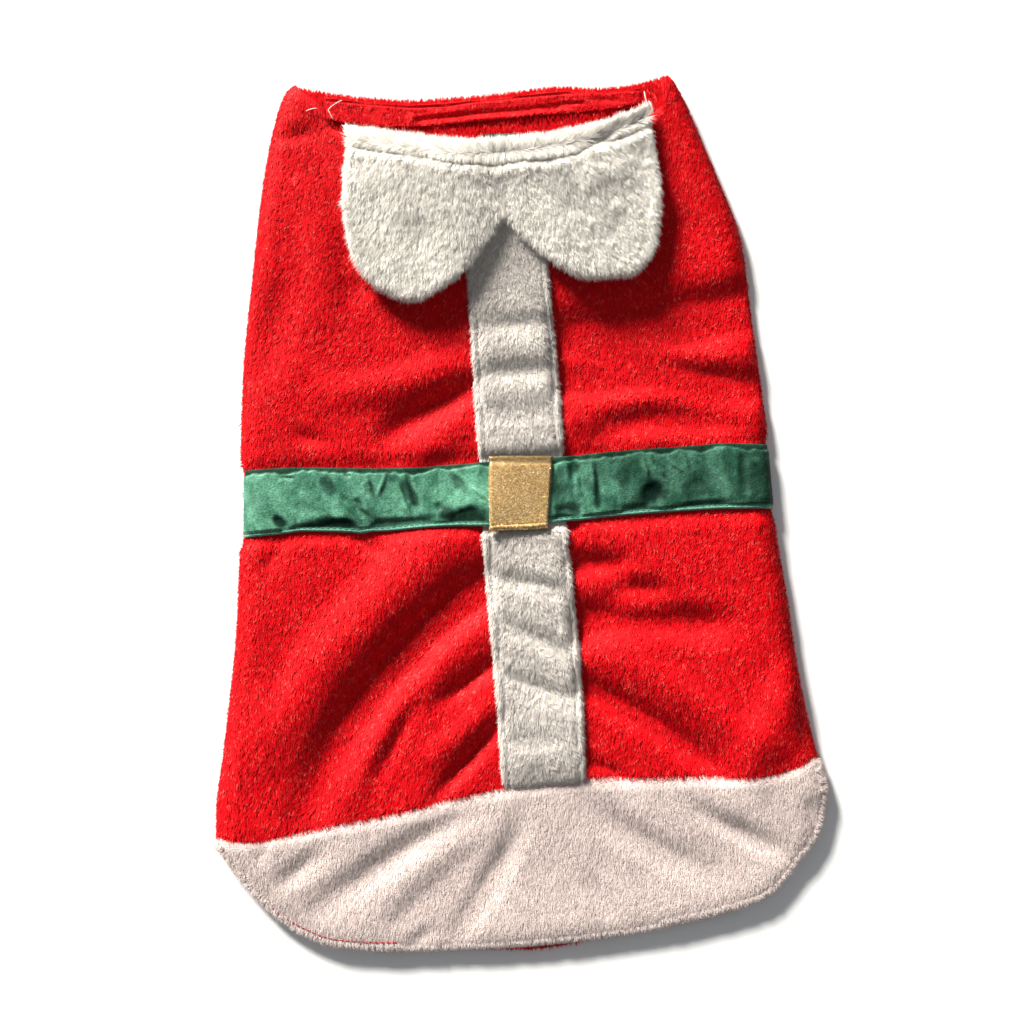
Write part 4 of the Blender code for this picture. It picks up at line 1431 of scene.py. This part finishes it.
@dataclass
class Belt(Cloth):
    """Satin belt from side seam to side seam, folded under at both long edges."""

    across: int = 330
    along: int = 54
    middle_y: float = 3.0
    sinking: float = 0.8
    strip_fade: tuple[float, float] = (0.1, 6.0)
    lip: float = 0.3
    top_lip: float = 1.9
    low_lip: float = 1.3
    low_lip_roll: float = 0.35
    scallops: tuple[float, float] = (-0.8, 1.3)
    body: float = 1.25
    body_round: float = 0.3
    least_body: float = 0.5
    fold_share: float = 1.5
    side_round: float = 2.0
    side_share: float = 0.25
    lip_light: float = 0.15
    shade_edge: tuple[float, float] = (0.5, 1.15)
    stitching: Stitching = Stitching(pitch=2.3, radius=0.13)

    def build(self) -> None:
        """Make the belt and the stitches along its lower lip."""
        s = self.garment.shares(self.middle_y)
        s = np.interp(np.linspace(0, 1, self.across), np.linspace(0, 1, len(s)), s)[None, :]
        low = through(ACROSS, "s", "belt_low", s)
        high = through(ACROSS, "s", "belt_high", s)
        y = low + (high - low) * np.linspace(0, 1, self.along)[:, None]
        x = self.garment.across(y, s)
        face = self.garment.laid(x, y)
        for place, sign in ((0, -1), (-1, 1)):
            face.out[:, place] = beside_line(face.points[:, place]) * sign
        step = (STRIP_PRESSED + GAP) * (1 - ease(from_strip(x, y), *self.strip_fade))
        inner = face.raised(PLUSH + GAP - self.sinking + step)
        from_low = y - low
        puff, hollow = self.puff(x, y, from_low, high - y)
        outer = inner.raised(puff)
        edge = bell((from_low - self.low_lip / 2) / self.low_lip)
        cloth = wall(inner.points, outer.points, {"hollow": hollow, "edge": edge})
        cloth = cloth.piece("belt_cloth", GREEN_SATIN, Slot.SATIN)
        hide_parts("belt")
        row = int(np.abs(from_low[:, 0] - self.low_lip).argmin())
        thread = self.stitching.sew(outer.points[row] + outer.out[row] * 0.05, outer.out[row])
        thread = thread.piece("belt_thread", GREEN_THREAD, Slot.SATIN)

    def puff(self, x: Array, y: Array, from_low: Array, from_high: Array) -> tuple[Array, Array]:
        """Thickness of the belt and the painted shade at each point.

        The lips are low rolls. Between them the satin puffs up, with a scalloped upper edge, and
        the measured creases lie on it, besides finer ones made by noise.

        Args:
            x: place along the belt.
            y: place across it.
            from_low: distance from the lower edge.
            from_high: distance from the upper edge.

        Returns:
            The thickness and the painted shade from 0 to 1, on the grid.
        """
        scallop = noises(x, 0 * x, (0.8, 4.5, 7), (0.6, 2.1, 8))
        lip = self.top_lip + np.clip(scallop, *self.scallops)
        below_lip = ease(from_high, lip - 0.3, lip + 0.25)
        above_lip = ease(from_low, self.low_lip, self.low_lip + 0.8)
        lips = self.lip + self.lip * dome(np.minimum(from_low, from_high), 0.8)
        half = self.low_lip / 2
        lips = lips + self.low_lip_roll * bell((from_low - half) / (half + 0.35))
        folds = self.garment.folded(np.zeros_like(x), BELT_CREASES, x, y, self.fold_share)
        slant = x - 0.7 * from_low
        fine = 0.12 * soft_noise(slant, from_low * 0.35, 5, 12) + 0.07 * soft_noise(slant, from_low, 1.8, 13)
        body = self.body + self.body_round * dome(from_high - lip, 2.5) + folds + fine
        body = np.maximum(body, self.least_body + 0.12 * body)
        thick = lips + below_lip * above_lip * (body - self.least_body)
        from_side = np.minimum(x - x[:, :1], x[:, -1:] - x)
        thick = thick * (self.side_share + (1 - self.side_share) * dome(from_side, self.side_round))
        # Painted shade: darker in the creases, far darker on the upper lip, which the pile above it shades,
        # and in the dark ovals
        lit = 1 - 0.5 * np.clip(-folds, 0, 1)
        lit = lit * (self.lip_light + (1 - self.lip_light) * below_lip)
        return thick, 1 - self.shaded(lit, above_lip, x, y)

    def shaded(self, lit: Array, reach: Array, x: Array, y: Array) -> Array:
        """The light left by the belt's ragged dark ovals, as far as they reach at each point."""
        ragged = noises(x, y, (0.3, 4.0, 14), (0.14, 2.2, 15))
        for shade in BELT_SHADES:
            turn = math.radians(shade.turn)
            dx, dy = x - shade.x, y - shade.y
            along = (dx * math.cos(turn) + dy * math.sin(turn)) / shade.half_length
            across = (dy * math.cos(turn) - dx * math.sin(turn)) / shade.half_width
            inside = 1 - ease(np.hypot(along, across) + ragged, *self.shade_edge)
            lit = lit * (1 - shade.depth * reach * inside)
        return lit


@dataclass
class BucklePatch(Cloth):
    """Patch of glitter cloth on the belt, its upper and lower edges turned under."""

    across: int = 40
    along: int = 44
    left_x: float = -6.1
    right_x: float = 17.6
    left_lean: float = 0.078
    right_lean: float = 0.113
    above: float = 2.0
    above_slope: float = 1.0
    below: float = 3.2
    below_slope: float = 0.2
    top_lip: float = 2.6
    low_lip: float = 2.1
    edge_round: float = 0.7
    base: float = 0.4
    edge: float = 0.35
    rise: float = 0.6
    groove_depth: float = 0.35
    groove_half_width: float = 0.6
    lip_shadow: float = 0.45
    sag: float = 0.25
    least: float = 0.3

    def build(self) -> None:
        """Make the patch."""
        u = np.linspace(0, 1, self.across)[None, :]
        v = np.linspace(0, 1, self.along)[:, None]
        low = through(ACROSS, "s", "belt_low", 0.5) - self.below - self.below_slope * u
        high = through(ACROSS, "s", "belt_high", 0.5) + self.above - self.above_slope * u
        y = low + (high - low) * v
        left = self.left_x + self.left_lean * y
        right = self.right_x + self.right_lean * y
        x = left + (right - left) * u
        inner = self.garment.laid(x, y).raised(PLUSH + STRIP_PRESSED + SATIN + GAP)
        from_low = y - low
        from_high = high - y
        sides = dome(np.minimum(x - left, right - x), self.edge_round)
        ends = dome(np.minimum(from_low, from_high), self.edge_round)
        top = ease(from_high, self.top_lip - 0.3, self.top_lip + 0.4)
        half = self.low_lip / 2
        roll = bell((from_low - half) / (half + 0.3))
        groove = bell((from_low - self.low_lip - 0.5) / self.groove_half_width)
        sag = self.sag * soft_noise(x, y, 9, 4)
        under_lip = bell((from_high - self.top_lip) / self.lip_shadow)
        thick = self.base + self.edge * sides * ends + self.rise * top * sides + self.rise * roll * ends
        thick = thick - self.groove_depth * groove + sag * 0.5 - 0.2 * under_lip
        # Painted shade: on the turned-under top lip, in a band under it and in the groove above the lower
        # roll
        hollow = np.clip(1 - top + 0.8 * under_lip + 0.5 * groove, 0, 1)
        outer = inner.raised(np.maximum(thick, self.least))
        cloth = wall(inner.points, outer.points, {"hollow": hollow})
        cloth = cloth.piece("patch_cloth", GOLD_LAME, Slot.LAME)
        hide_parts("buckle_patch")


@dataclass
class Collar(Cloth):
    """Two-lobed collar of doubled plush with a long pile, creased below its neck edge."""

    lobe_columns: int = 46
    rows: int = 46
    crowding: float = 0.6
    clearance: float = 0.5
    lift: float = 2.6
    right_drop: float = 0.3
    right_drop_x: tuple[float, float] = (-5.0, 30.0)
    strip_fade: tuple[float, float] = (0.5, 30.0)
    notch_x: float = 5.9
    notch_half_width: float = 25.0
    notch_thickness: float = 0.65
    narrowing: float = 0.975
    edge_round: float = 1.8
    edge_fade: float = 6.0
    edge_share: float = 0.5
    neck_share: float = 0.75
    neck_fade: tuple[float, float] = (1.0, 6.0)
    crease_depth: float = 0.75
    crease_above: float = 0.8
    crease_below: float = 3.0
    crease_start: tuple[float, float] = (-57.0, -48.0)
    tuck_depth: float = 0.8
    tuck_half_width: float = 1.6
    backing: float = 2.3
    least: float = 0.6
    side_inset: float = 0.03
    neck_inset: float = 0.045
    low_inset: float = 0.02
    fringe_width: float = 1.8
    comb_turn: tuple[float, float] = (1.5, 4.5)
    comb_out: float = 0.3
    comb_up: float = 32.0
    comb_down: float = 6.0
    crushed: float = 0.45
    crushed_above: tuple[float, float] = (0.2, 2.5)
    crushed_below: tuple[float, float] = (0.1, 1.5)
    pile: Pile = Pile(blades=164_000, length=4.8, width=0.3, lean=72, seed=41, tuft=1.5, gather=0.28,
                      swirl=0.26, stray=0.22, smooth=0.7, uneven=0.07, tousle=0.11, own_tone=0.55,
                      upward=0.2)
    fringe: Pile = Pile(blades=10_000, length=2.6, width=0.2, lean=55, seed=43, levels=2, tuft=1.5,
                        gather=0.1, swirl=0.5, stray=0.4, smooth=0.8, own_tone=0.8, upward=1.0)

    def plan(self) -> tuple[Array, Array, Array]:
        """Plan of the collar, rows from its lower edge to its neck edge.

        Returns:
            x and y by row and column, and the share of each row from the neck edge.
        """
        share = crowded(self.rows, self.crowding)[:, None]
        share = self.neck_inset + (1 - self.neck_inset - self.low_inset) * share
        xs, ys = [], []
        left = self.side_inset + (1 - self.side_inset) * crowded(self.lobe_columns + 1, 1.0)
        for lobe, at in ((LEFT_LOBE, left), (RIGHT_LOBE, (1 - left)[::-1][1:])):
            ray = {name: through(lobe, "u", name, at) for name in CollarRay._fields[1:]}
            xs.append(ray["top_x"] + (ray["low_x"] - ray["top_x"]) * share)
            ys.append(ray["top_y"] + (ray["low_y"] - ray["top_y"]) * share)
        x = np.concatenate(xs, axis=1)[::-1]
        x = self.notch_x + (x - self.notch_x) * self.narrowing
        y = np.concatenate(ys, axis=1)[::-1]
        return x, y, np.broadcast_to(share[::-1], x.shape)

    def build(self) -> None:
        """Make the collar and its pile."""
        x, y, share = self.plan()
        plan = stacked(x, y)
        neck = plan[-1]
        edge = np.concatenate((plan[::-1, 0], plan[0, 1:], plan[1:, -1], neck[::-1][1:]))
        from_edge = distance_to_line(x, y, edge)
        from_neck = distance_to_line(x, y, neck)
        past = above(COLLAR_CREASE, x, y)
        low, high = self.heights(x, y, share, from_edge, from_neck, past)
        under = stacked(x, y, low + 0.35 * (1 - dome(from_edge, 2.5)))
        upper = stacked(x, y, np.maximum(high, low + self.least))
        cloth = wall(under, upper).piece("collar_cloth", WHITE_KNIT, Slot.WHITE)
        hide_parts("collar")
        face = Face(upper, outward(upper))
        up = 1 - 2 * ease(from_neck, *self.comb_turn)
        comb = stacked((x - self.notch_x) * self.comb_out, self.comb_up * up - self.comb_down * share, 0.0)
        upright = ease(past, *self.crushed_above) + ease(-past, *self.crushed_below)
        pile = self.pile.grow(face, comb, 1.0, self.crushed + (1 - self.crushed) * upright)
        rims = np.where(from_edge < self.fringe_width, 1.0, 0.0)
        reach = 0.6 + 0.4 * (from_neck > 3)
        fringe = self.fringe.grow(face, away_from(from_edge, x, y), rims, reach)
        pile = pile.joined(fringe).piece("collar_pile", WHITE_PILE, Slot.WHITE)

    def heights(self, x: Array, y: Array, share: Array, from_edge: Array, from_neck: Array,
                past: Array) -> tuple[Array, Array]:
        """Heights of the lower and the upper face, from the distances on the plan."""
        over_strip = STRIP_PRESSED * (1 - ease(from_strip(x, y), *self.strip_fade))
        away_from_notch = 1 - bell((x - self.notch_x) / self.notch_half_width)
        thinner = np.maximum(away_from_notch, 1 - share)
        thinner = self.notch_thickness + (1 - self.notch_thickness) * thinner
        lifted = self.lift * (1 - self.right_drop * ease(x, *self.right_drop_x))
        lifted = lifted * share ** 2 * away_from_notch
        low = self.garment.crown(x, y, ()) + PLUSH + self.clearance + over_strip + lifted
        crease = self.crease_depth * bell(past / np.where(past > 0, self.crease_above, self.crease_below))
        tuck = self.tuck_depth * bell(distance_to_line(x, y, COLLAR_TUCK) / self.tuck_half_width)
        crease = crease * ease(x, *self.crease_start) + tuck
        soft = self.garment.folded(noises(x, y, (0.35, 18, 21), (0.15, 8, 22)), COLLAR_DENTS, x, y)
        near_neck = 1 - ease(from_neck, *self.neck_fade)
        blunt = self.edge_share + (self.neck_share - self.edge_share) * near_neck
        swell = blunt + (1 - blunt) * dome(from_edge, self.edge_round)
        inward = dome(from_edge, self.edge_fade)
        return low, low + self.backing * thinner * swell + (soft - crease) * inward


def away_from(distance: Array, x: Array, y: Array, drop: float = 0.3) -> Array:
    """The way to the nearest edge, falling a little, from the slope of the distance to it."""
    along = [np.gradient(grid, axis=1) for grid in (distance, x, y)]
    across = [np.gradient(grid, axis=0) for grid in (distance, x, y)]
    area = along[1] * across[2] - across[1] * along[2]
    area = np.where(np.abs(area) < 1e-6, 1e-6, area)
    slope_x = (along[0] * across[2] - across[0] * along[2]) / area
    slope_y = (across[0] * along[1] - along[0] * across[1]) / area
    return stacked(-slope_x, -slope_y, -drop)


@dataclass
class BellyPanel(Cloth):
    """Underside of the tube, with two leg holes and its pile pressed flat where it lies."""

    across: int = 80
    along: int = 116
    hem_share: float = 0.16
    side_share: float = 0.8
    neck_share: float = 0.04
    inset: float = 1.2
    belt_inset: float = 0.8
    peep_x: float = 4.0
    peep_half_width: float = 30.0
    peep_below: float = 2.1
    neck_left: float = -75.0
    neck_width: float = 147.6
    side_low: float = -121.0
    side_low_slope: float = 10.0
    side_high: float = 159.0
    hole_x: float = 40.0
    hole_y: float = 92.0
    hole_half_width: float = 23.0
    hole_half_length: float = 27.0
    snap_to: float = 1.6
    under_z: float = 0.55
    upper_z: float = 1.45
    round_edge: float = 1.2
    hole_roll: float = 0.25
    welt: float = 3.2
    crease_depth: float = 0.5
    bare_rim: float = 1.05
    worn_edge: float = 1.5
    worn_growth: float = 0.3
    hem_y: float = -120.0
    hem_bare: float = 4.2
    covered_y: float = -124.0
    covered_growth: float = 0.02
    belt_thinning: float = 0.85
    neck_y: float = 138.0
    neck_half_width: float = 74.0
    neck_growth: float = 0.6
    facing_y: tuple[float, float] = (151.0, 162.0)
    facing_half_width: float = 61.0
    pile: Pile = Pile(blades=30_000, length=2.1, width=0.42, lean=40, seed=53)
    pressed: Pile = Pile(blades=64_000, length=3.2, width=0.85, lean=80, seed=59, twist=0.2,
                         uneven=0.05, gather=0.15)

    def plan(self) -> tuple[Array, Array]:
        """x and y of the panel's grid: rows from the hem's edge to the neck edge."""
        u = np.linspace(0, 1, self.across)[None, :]
        t = np.linspace(0, 1, self.along)[:, None]
        hem = self.garment.hem_edge(u[0], self.inset)
        peep = self.peep_below * bell((hem[:, 0] - self.peep_x) / self.peep_half_width)
        neck_x = self.neck_left + self.neck_width * u
        neck_y = through(BELLY_NECK, "x", "y", neck_x)
        t_hem = np.clip(t / self.hem_share, 0, 1)
        t_side = np.clip((t - self.hem_share) / self.side_share, 0, 1)
        t_neck = np.clip((t - (1 - self.neck_share)) / self.neck_share, 0, 1)
        side_low = self.side_low + self.side_low_slope * u
        y = side_low + (self.side_high - side_low) * t_side
        inset = self.inset + self.belt_inset * self.garment.near_belt(y)
        left, right = sides_at(SIDES, y)
        left, right = left + inset, right - inset
        x = left + (right - left) * u
        x = hem[:, 0] + (x - hem[:, 0]) * t_hem
        y = (hem[:, 1] - peep) + (y - hem[:, 1] + peep) * t_hem
        return x + (neck_x - x) * t_neck, y + (neck_y - y) * t_neck

    def from_hole(self, x: Array, y: Array) -> Array:
        """Ratio of a point's distance from the nearer hole's centre to the hole's edge there."""
        both = [np.hypot((x - side * self.hole_x) / self.hole_half_width,
                         (y - self.hole_y) / self.hole_half_length) for side in (-1, 1)]
        return np.minimum(*both)

    def snapped(self, x: Array, y: Array) -> tuple[Array, Array, Array]:
        """Draw the grid's points that border on the leg holes onto their edges.

        Args:
            x: x of the grid.
            y: y of the grid.

        Returns:
            The new x and y, and the cells with cloth in them.
        """
        ratio = self.from_hole(x, y)
        middle = (ratio[:-1, :-1] + ratio[1:, 1:] + ratio[1:, :-1] + ratio[:-1, 1:]) / 4
        kept = middle > 1
        around = np.pad(kept, 1, mode="edge")
        near = [around[i:i + x.shape[0], j:j + x.shape[1]] for i in (0, 1) for j in (0, 1)]
        border = np.any(near, axis=0) & ~np.all(near, axis=0) & (ratio < self.snap_to)
        scale = np.where(border, 1 / np.maximum(ratio, 0.1), 1)
        centre = np.sign(x) * self.hole_x
        return centre + (x - centre) * scale, self.hole_y + (y - self.hole_y) * scale, kept

    def build(self) -> None:
        """Make the panel with its leg holes, and grow its pile."""
        x, y = self.plan()
        plan = stacked(x, y)
        outline = np.concatenate((plan[::-1, 0], plan[0, 1:], plan[1:, -1], plan[-1, ::-1][1:]))
        x, y, kept = self.snapped(x, y)
        ratio = self.from_hole(x, y)
        from_edge = distance_to_line(x, y, outline)
        from_rim = np.minimum(from_edge, (ratio - 1) * self.hole_half_width)
        edge = dome(np.maximum(from_rim, 0), self.round_edge)
        creases = self.crease_depth * np.clip(soft_noise(x, y * 0.5, 14, 33) - 0.25, 0, 1) * edge
        turned = self.hole_roll * bell((ratio - 1.12) / 0.1)
        middle = (self.under_z + self.upper_z) / 2
        low = stacked(x, y, middle + (self.under_z - middle) * edge + creases + turned)
        high = stacked(x, y, middle + (self.upper_z - middle) * edge)
        cloth = wall(low, high, kept=kept).piece("belly_cloth", RED_KNIT, Slot.RED)
        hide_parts("belly_panel")
        face = Face(high, np.broadcast_to((0.0, 0.0, 1.0), high.shape))
        pile = self.pile.grow(face, away_from(from_edge, x, y), self.growth(x, y, from_edge))
        under = Face(low, np.broadcast_to((0.0, 0.0, -1.0), low.shape))
        growth = np.where(from_edge > self.worn_edge, 1.0, self.worn_growth)
        bare = (ratio <= self.bare_rim) | ((y < self.hem_y) & (from_edge < self.hem_bare))
        pressed = self.pressed.grow(under, np.array((0.15, -1.0, 0.0)), np.where(bare, 0.0, growth))
        pressed.points[:, 2] = np.maximum(pressed.points[:, 2], 0.0)
        pile = pile.joined(pressed).piece("belly_pile", RED_PILE, Slot.RED)

    def growth(self, x: Array, y: Array, from_edge: Array) -> Array:
        """How thickly the upper side's pile grows: along the edges, and inside the neck."""
        off_belt = 1 - self.belt_thinning * self.garment.near_belt(y)
        covered = (y < self.covered_y) & (np.abs(x - self.peep_x) > self.peep_half_width)
        along_edge = np.where(from_edge < self.welt, off_belt, 0.0)
        along_edge = along_edge * np.where(covered, self.covered_growth, 1.0)
        facing = (y > self.facing_y[0]) & (y < self.facing_y[1]) & (np.abs(x) < self.facing_half_width)
        in_neck = (y > self.neck_y) & (np.abs(x) < self.neck_half_width) & ~facing
        return along_edge + np.where(in_neck, self.neck_growth, 0.0)


@dataclass
class NeckFacing(Cloth):
    """Turned-in neck edge of the belly panel: a stitched band with a rolled lower edge."""

    across: int = 150
    along: int = 26
    from_edge: float = 1.8
    left: float = -62.0
    right: float = 63.0
    sinking: float = 0.2
    thickness: float = 1.0
    least: float = 0.3
    seam_depth: float = 0.5
    seam_half_width: float = 0.9
    lip_rise: float = 0.55
    lip_groove: float = 0.6
    lip_drop: float = 0.45
    lip_start: tuple[float, float] = (-29.0, -25.0)
    lip_end: tuple[float, float] = (26.0, 40.0)
    end_round: float = 2.0
    pile: Pile = Pile(blades=9_000, length=1.1, width=0.3, lean=74, seed=61, smooth=0.9)
    stitching: Stitching = Stitching(pitch=2.0, radius=0.15)

    def build(self) -> None:
        """Make the band, its nap and its stitches."""
        x = np.linspace(self.left, self.right, self.across)[None, :]
        v = np.linspace(0, 1, self.along)[::-1, None]
        top = through(BELLY_NECK, "x", "y", x) - self.from_edge
        bottom = through(BELLY_NECK, "x", "facing_y", x)
        y = top + (bottom - top) * v
        x = x + 0 * y
        seam = above(FACING_SEAM, x, y)
        floor = BASE - self.sinking
        low = stacked(x, y, floor)
        high = stacked(x, y, floor + np.maximum(self.height(x, y, seam), self.least))
        cloth = wall(low, high).piece("facing_cloth", RED_KNIT, Slot.RED)
        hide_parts("neck_facing")
        face = Face(high, outward(high))
        down = np.array((0.0, -1.0, 0.0))
        pile = self.pile.grow(face, down).piece("facing_pile", RED_PILE, Slot.RED)
        row = np.abs(seam).argmin(axis=0)
        across = np.arange(self.across)
        thread = self.stitching.sew(high[row, across] + (0, 0, 0.05), face.out[row, across])
        thread = thread.piece("facing_thread", RED_THREAD, Slot.RED)

    def height(self, x: Array, y: Array, seam: Array) -> Array:
        """Thickness of the band, sunk along its seam and rolled at its lip, with its creases."""
        past = above(FACING_LIP, x, y)
        middle = ease(x, *self.lip_start) * (1 - ease(x, *self.lip_end))
        roll = self.lip_rise * bell((past - 0.3) / 1.4) - self.lip_groove * bell((past - 2.8) / 2.0)
        roll = roll * middle - self.lip_drop * (1 - ease(past, -1.4, -0.2)) * middle
        sewn = self.seam_depth * bell(seam / self.seam_half_width)
        wander = 0.2 * soft_noise(x, y, 9, 51)
        crease = self.garment.folded(0.0, FACING_CREASES, x, y)
        ends = dome(np.minimum(x - self.left, self.right - x), self.end_round)
        return (self.thickness + roll - sewn + wander + crease) * (0.5 + 0.5 * ends)


@dataclass
class NeckLabel(Cloth):
    """Bare black tape label inside the middle of the back's neck edge."""

    left: float = -1.0
    right: float = 13.6
    low: float = 134.0
    high: float = 144.3
    columns: int = 24
    rows: int = 18
    clearance: float = 0.35
    dip: float = 0.4
    dip_y: tuple[float, float] = (142.0, 145.0)
    wave: float = 0.12
    wave_turns: float = 1.1

    def build(self) -> None:
        """Make the label."""
        x, y = np.meshgrid(np.linspace(self.left, self.right, self.columns),
                           np.linspace(self.low, self.high, self.rows))
        high = self.garment.crown(x, y) - self.clearance - self.dip * ease(y, *self.dip_y)
        upper = stacked(x, y, high + self.wave * np.sin((x - self.left) * self.wave_turns))
        label = wall(upper - (0, 0, LABEL), upper).piece("label_tape", BLACK_TAPE, Slot.TAPE)
        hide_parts("neck_label")


@dataclass
class LooseThreads(Cloth):
    """Thread ends left at the two ends of the collar's seam."""

    threads: Sequence[Thread] = LOOSE_THREADS
    bend_heights: tuple[float, float, float] = (-0.4, 0.6, -0.2)

    def build(self) -> None:
        """Make the thread ends."""
        made = None
        t = np.linspace(0, 1, 12)[:, None]
        for row in self.threads:
            plan = ((row.x1, row.y1), (row.x2, row.y2), (row.x3, row.y3))
            start, middle, end = (np.array((*place, z)) for place, z in zip(plan, self.bend_heights))
            line = start * (1 - t) ** 2 + 2 * middle * t * (1 - t) + end * t ** 2
            beside = line[:, None, :] + ((0, 0, 0), (0.1, 0, 0))
            cloth = self.garment.laid(beside[..., 0], beside[..., 1]).points[:, 0, 2]
            line[:, 2] += cloth + PLUSH + row.z
            thread = tube(line, row.radius)
            made = thread if made is None else made.joined(thread)
        made.piece("loose_threads", WHITE_THREAD, Slot.WHITE)


@dataclass
class Studio:
    """Plain pale floor, soft light from the neck's left, and the camera above the garment."""

    elevation: float = 83.0
    roll: float = 3.1
    distance: float = 0.80
    lens: float = 73.05
    sensor: float = 36.0
    clip_start: float = 0.01
    target: tuple[float, float, float] = (0.0027, -0.0052, 0.006)
    floor_size: float = 40.0
    under: float = 0.0001
    floor_colour: Colour = (0.92, 0.92, 0.92)
    floor_roughness: float = 0.9
    key_place: tuple[float, float, float] = (-0.5, 0.87, 0.39)
    key_spread: float = 0.3
    key_power: float = 14.0
    key_colour: Colour = (1.0, 0.965, 0.91)
    fill_place: tuple[float, float, float] = (0.5, -0.7, 1.4)
    fill_size: float = 1.6
    fill_power: float = 2.0
    fill_colour: Colour = (0.93, 0.96, 1.0)
    sky: float = 0.2
    sky_colour: Colour = (0.94, 0.97, 1.0)

    def build(self) -> None:
        """Set the floor, the lights, the surroundings and the camera."""
        self.floor()
        key = self.lamp("SUN", self.key_place, self.key_power, self.key_colour)
        key.angle = self.key_spread
        fill = self.lamp("AREA", self.fill_place, self.fill_power, self.fill_colour)
        fill.size = self.fill_size
        world = bpy.data.worlds.new("studio")
        world.use_nodes = True
        backdrop = world.node_tree.nodes["Background"]
        backdrop.inputs["Color"].default_value = (*self.sky_colour, 1.0)
        backdrop.inputs["Strength"].default_value = self.sky
        bpy.context.scene.world = world
        bpy.context.scene.view_settings.view_transform = "Standard"
        self.camera()

    def floor(self) -> None:
        """Pale floor under the garment."""
        half = self.floor_size / 2
        square = ((-half, -half), (half, -half), (half, half), (-half, half))
        mesh = bpy.data.meshes.new("floor")
        mesh.from_pydata([(*corner, -self.under) for corner in square], [], [(0, 1, 2, 3)])
        shading = Shading("floor")
        shading.put("Base Color", self.floor_colour)
        shading.put("Roughness", self.floor_roughness)
        mesh.materials.append(shading.material)
        floor = bpy.data.objects.new("floor", mesh)
        bpy.context.scene.collection.objects.link(floor)

    @staticmethod
    def lamp(kind: str, place: tuple[float, float, float], power: float,
             colour: Colour) -> bpy.types.Light:
        """A lamp of the given kind at a place, turned to the garment."""
        data = bpy.data.lights.new(kind.lower(), kind)
        data.energy = power
        data.color = colour
        lamp = bpy.data.objects.new(kind.lower(), data)
        lamp.location = place
        lamp.rotation_euler = (-Vector(place)).to_track_quat("-Z", "Y").to_euler()
        bpy.context.scene.collection.objects.link(lamp)
        return data

    def camera(self) -> None:
        """Camera nearly straight above, turned a little about its axis."""
        roll = math.radians(self.roll)
        high = math.radians(self.elevation)
        ahead = Vector((math.sin(roll), math.cos(roll), 0))
        right = Vector((math.cos(roll), -math.sin(roll), 0))
        back = -ahead * math.cos(high) + Vector((0, 0, 1)) * math.sin(high)
        up = back.cross(right)
        data = bpy.data.cameras.new("camera")
        data.lens = self.lens
        data.sensor_width = self.sensor
        data.clip_start = self.clip_start
        camera = bpy.data.objects.new("camera", data)
        place = Vector(self.target) + back * self.distance
        turn = Matrix((right, up, back)).transposed().to_4x4()
        camera.matrix_world = Matrix.Translation(place) @ turn
        bpy.context.scene.collection.objects.link(camera)
        bpy.context.scene.camera = camera


def main() -> None:
    """Dress the frame, piece by piece, from the belly panel up."""
    logging.basicConfig(level=logging.INFO, format="%(name)s: %(message)s")
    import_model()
    garment = Garment()
    for kind in (BellyPanel, NeckFacing, BackPanel, HemBand, NeckLabel, PlacketStrip, Belt, BucklePatch,
                 Collar, LooseThreads):
        log.info("making the %s", kind.__name__)
        kind(garment).build()
    Studio().build()


if __name__ == "__main__":
    main()
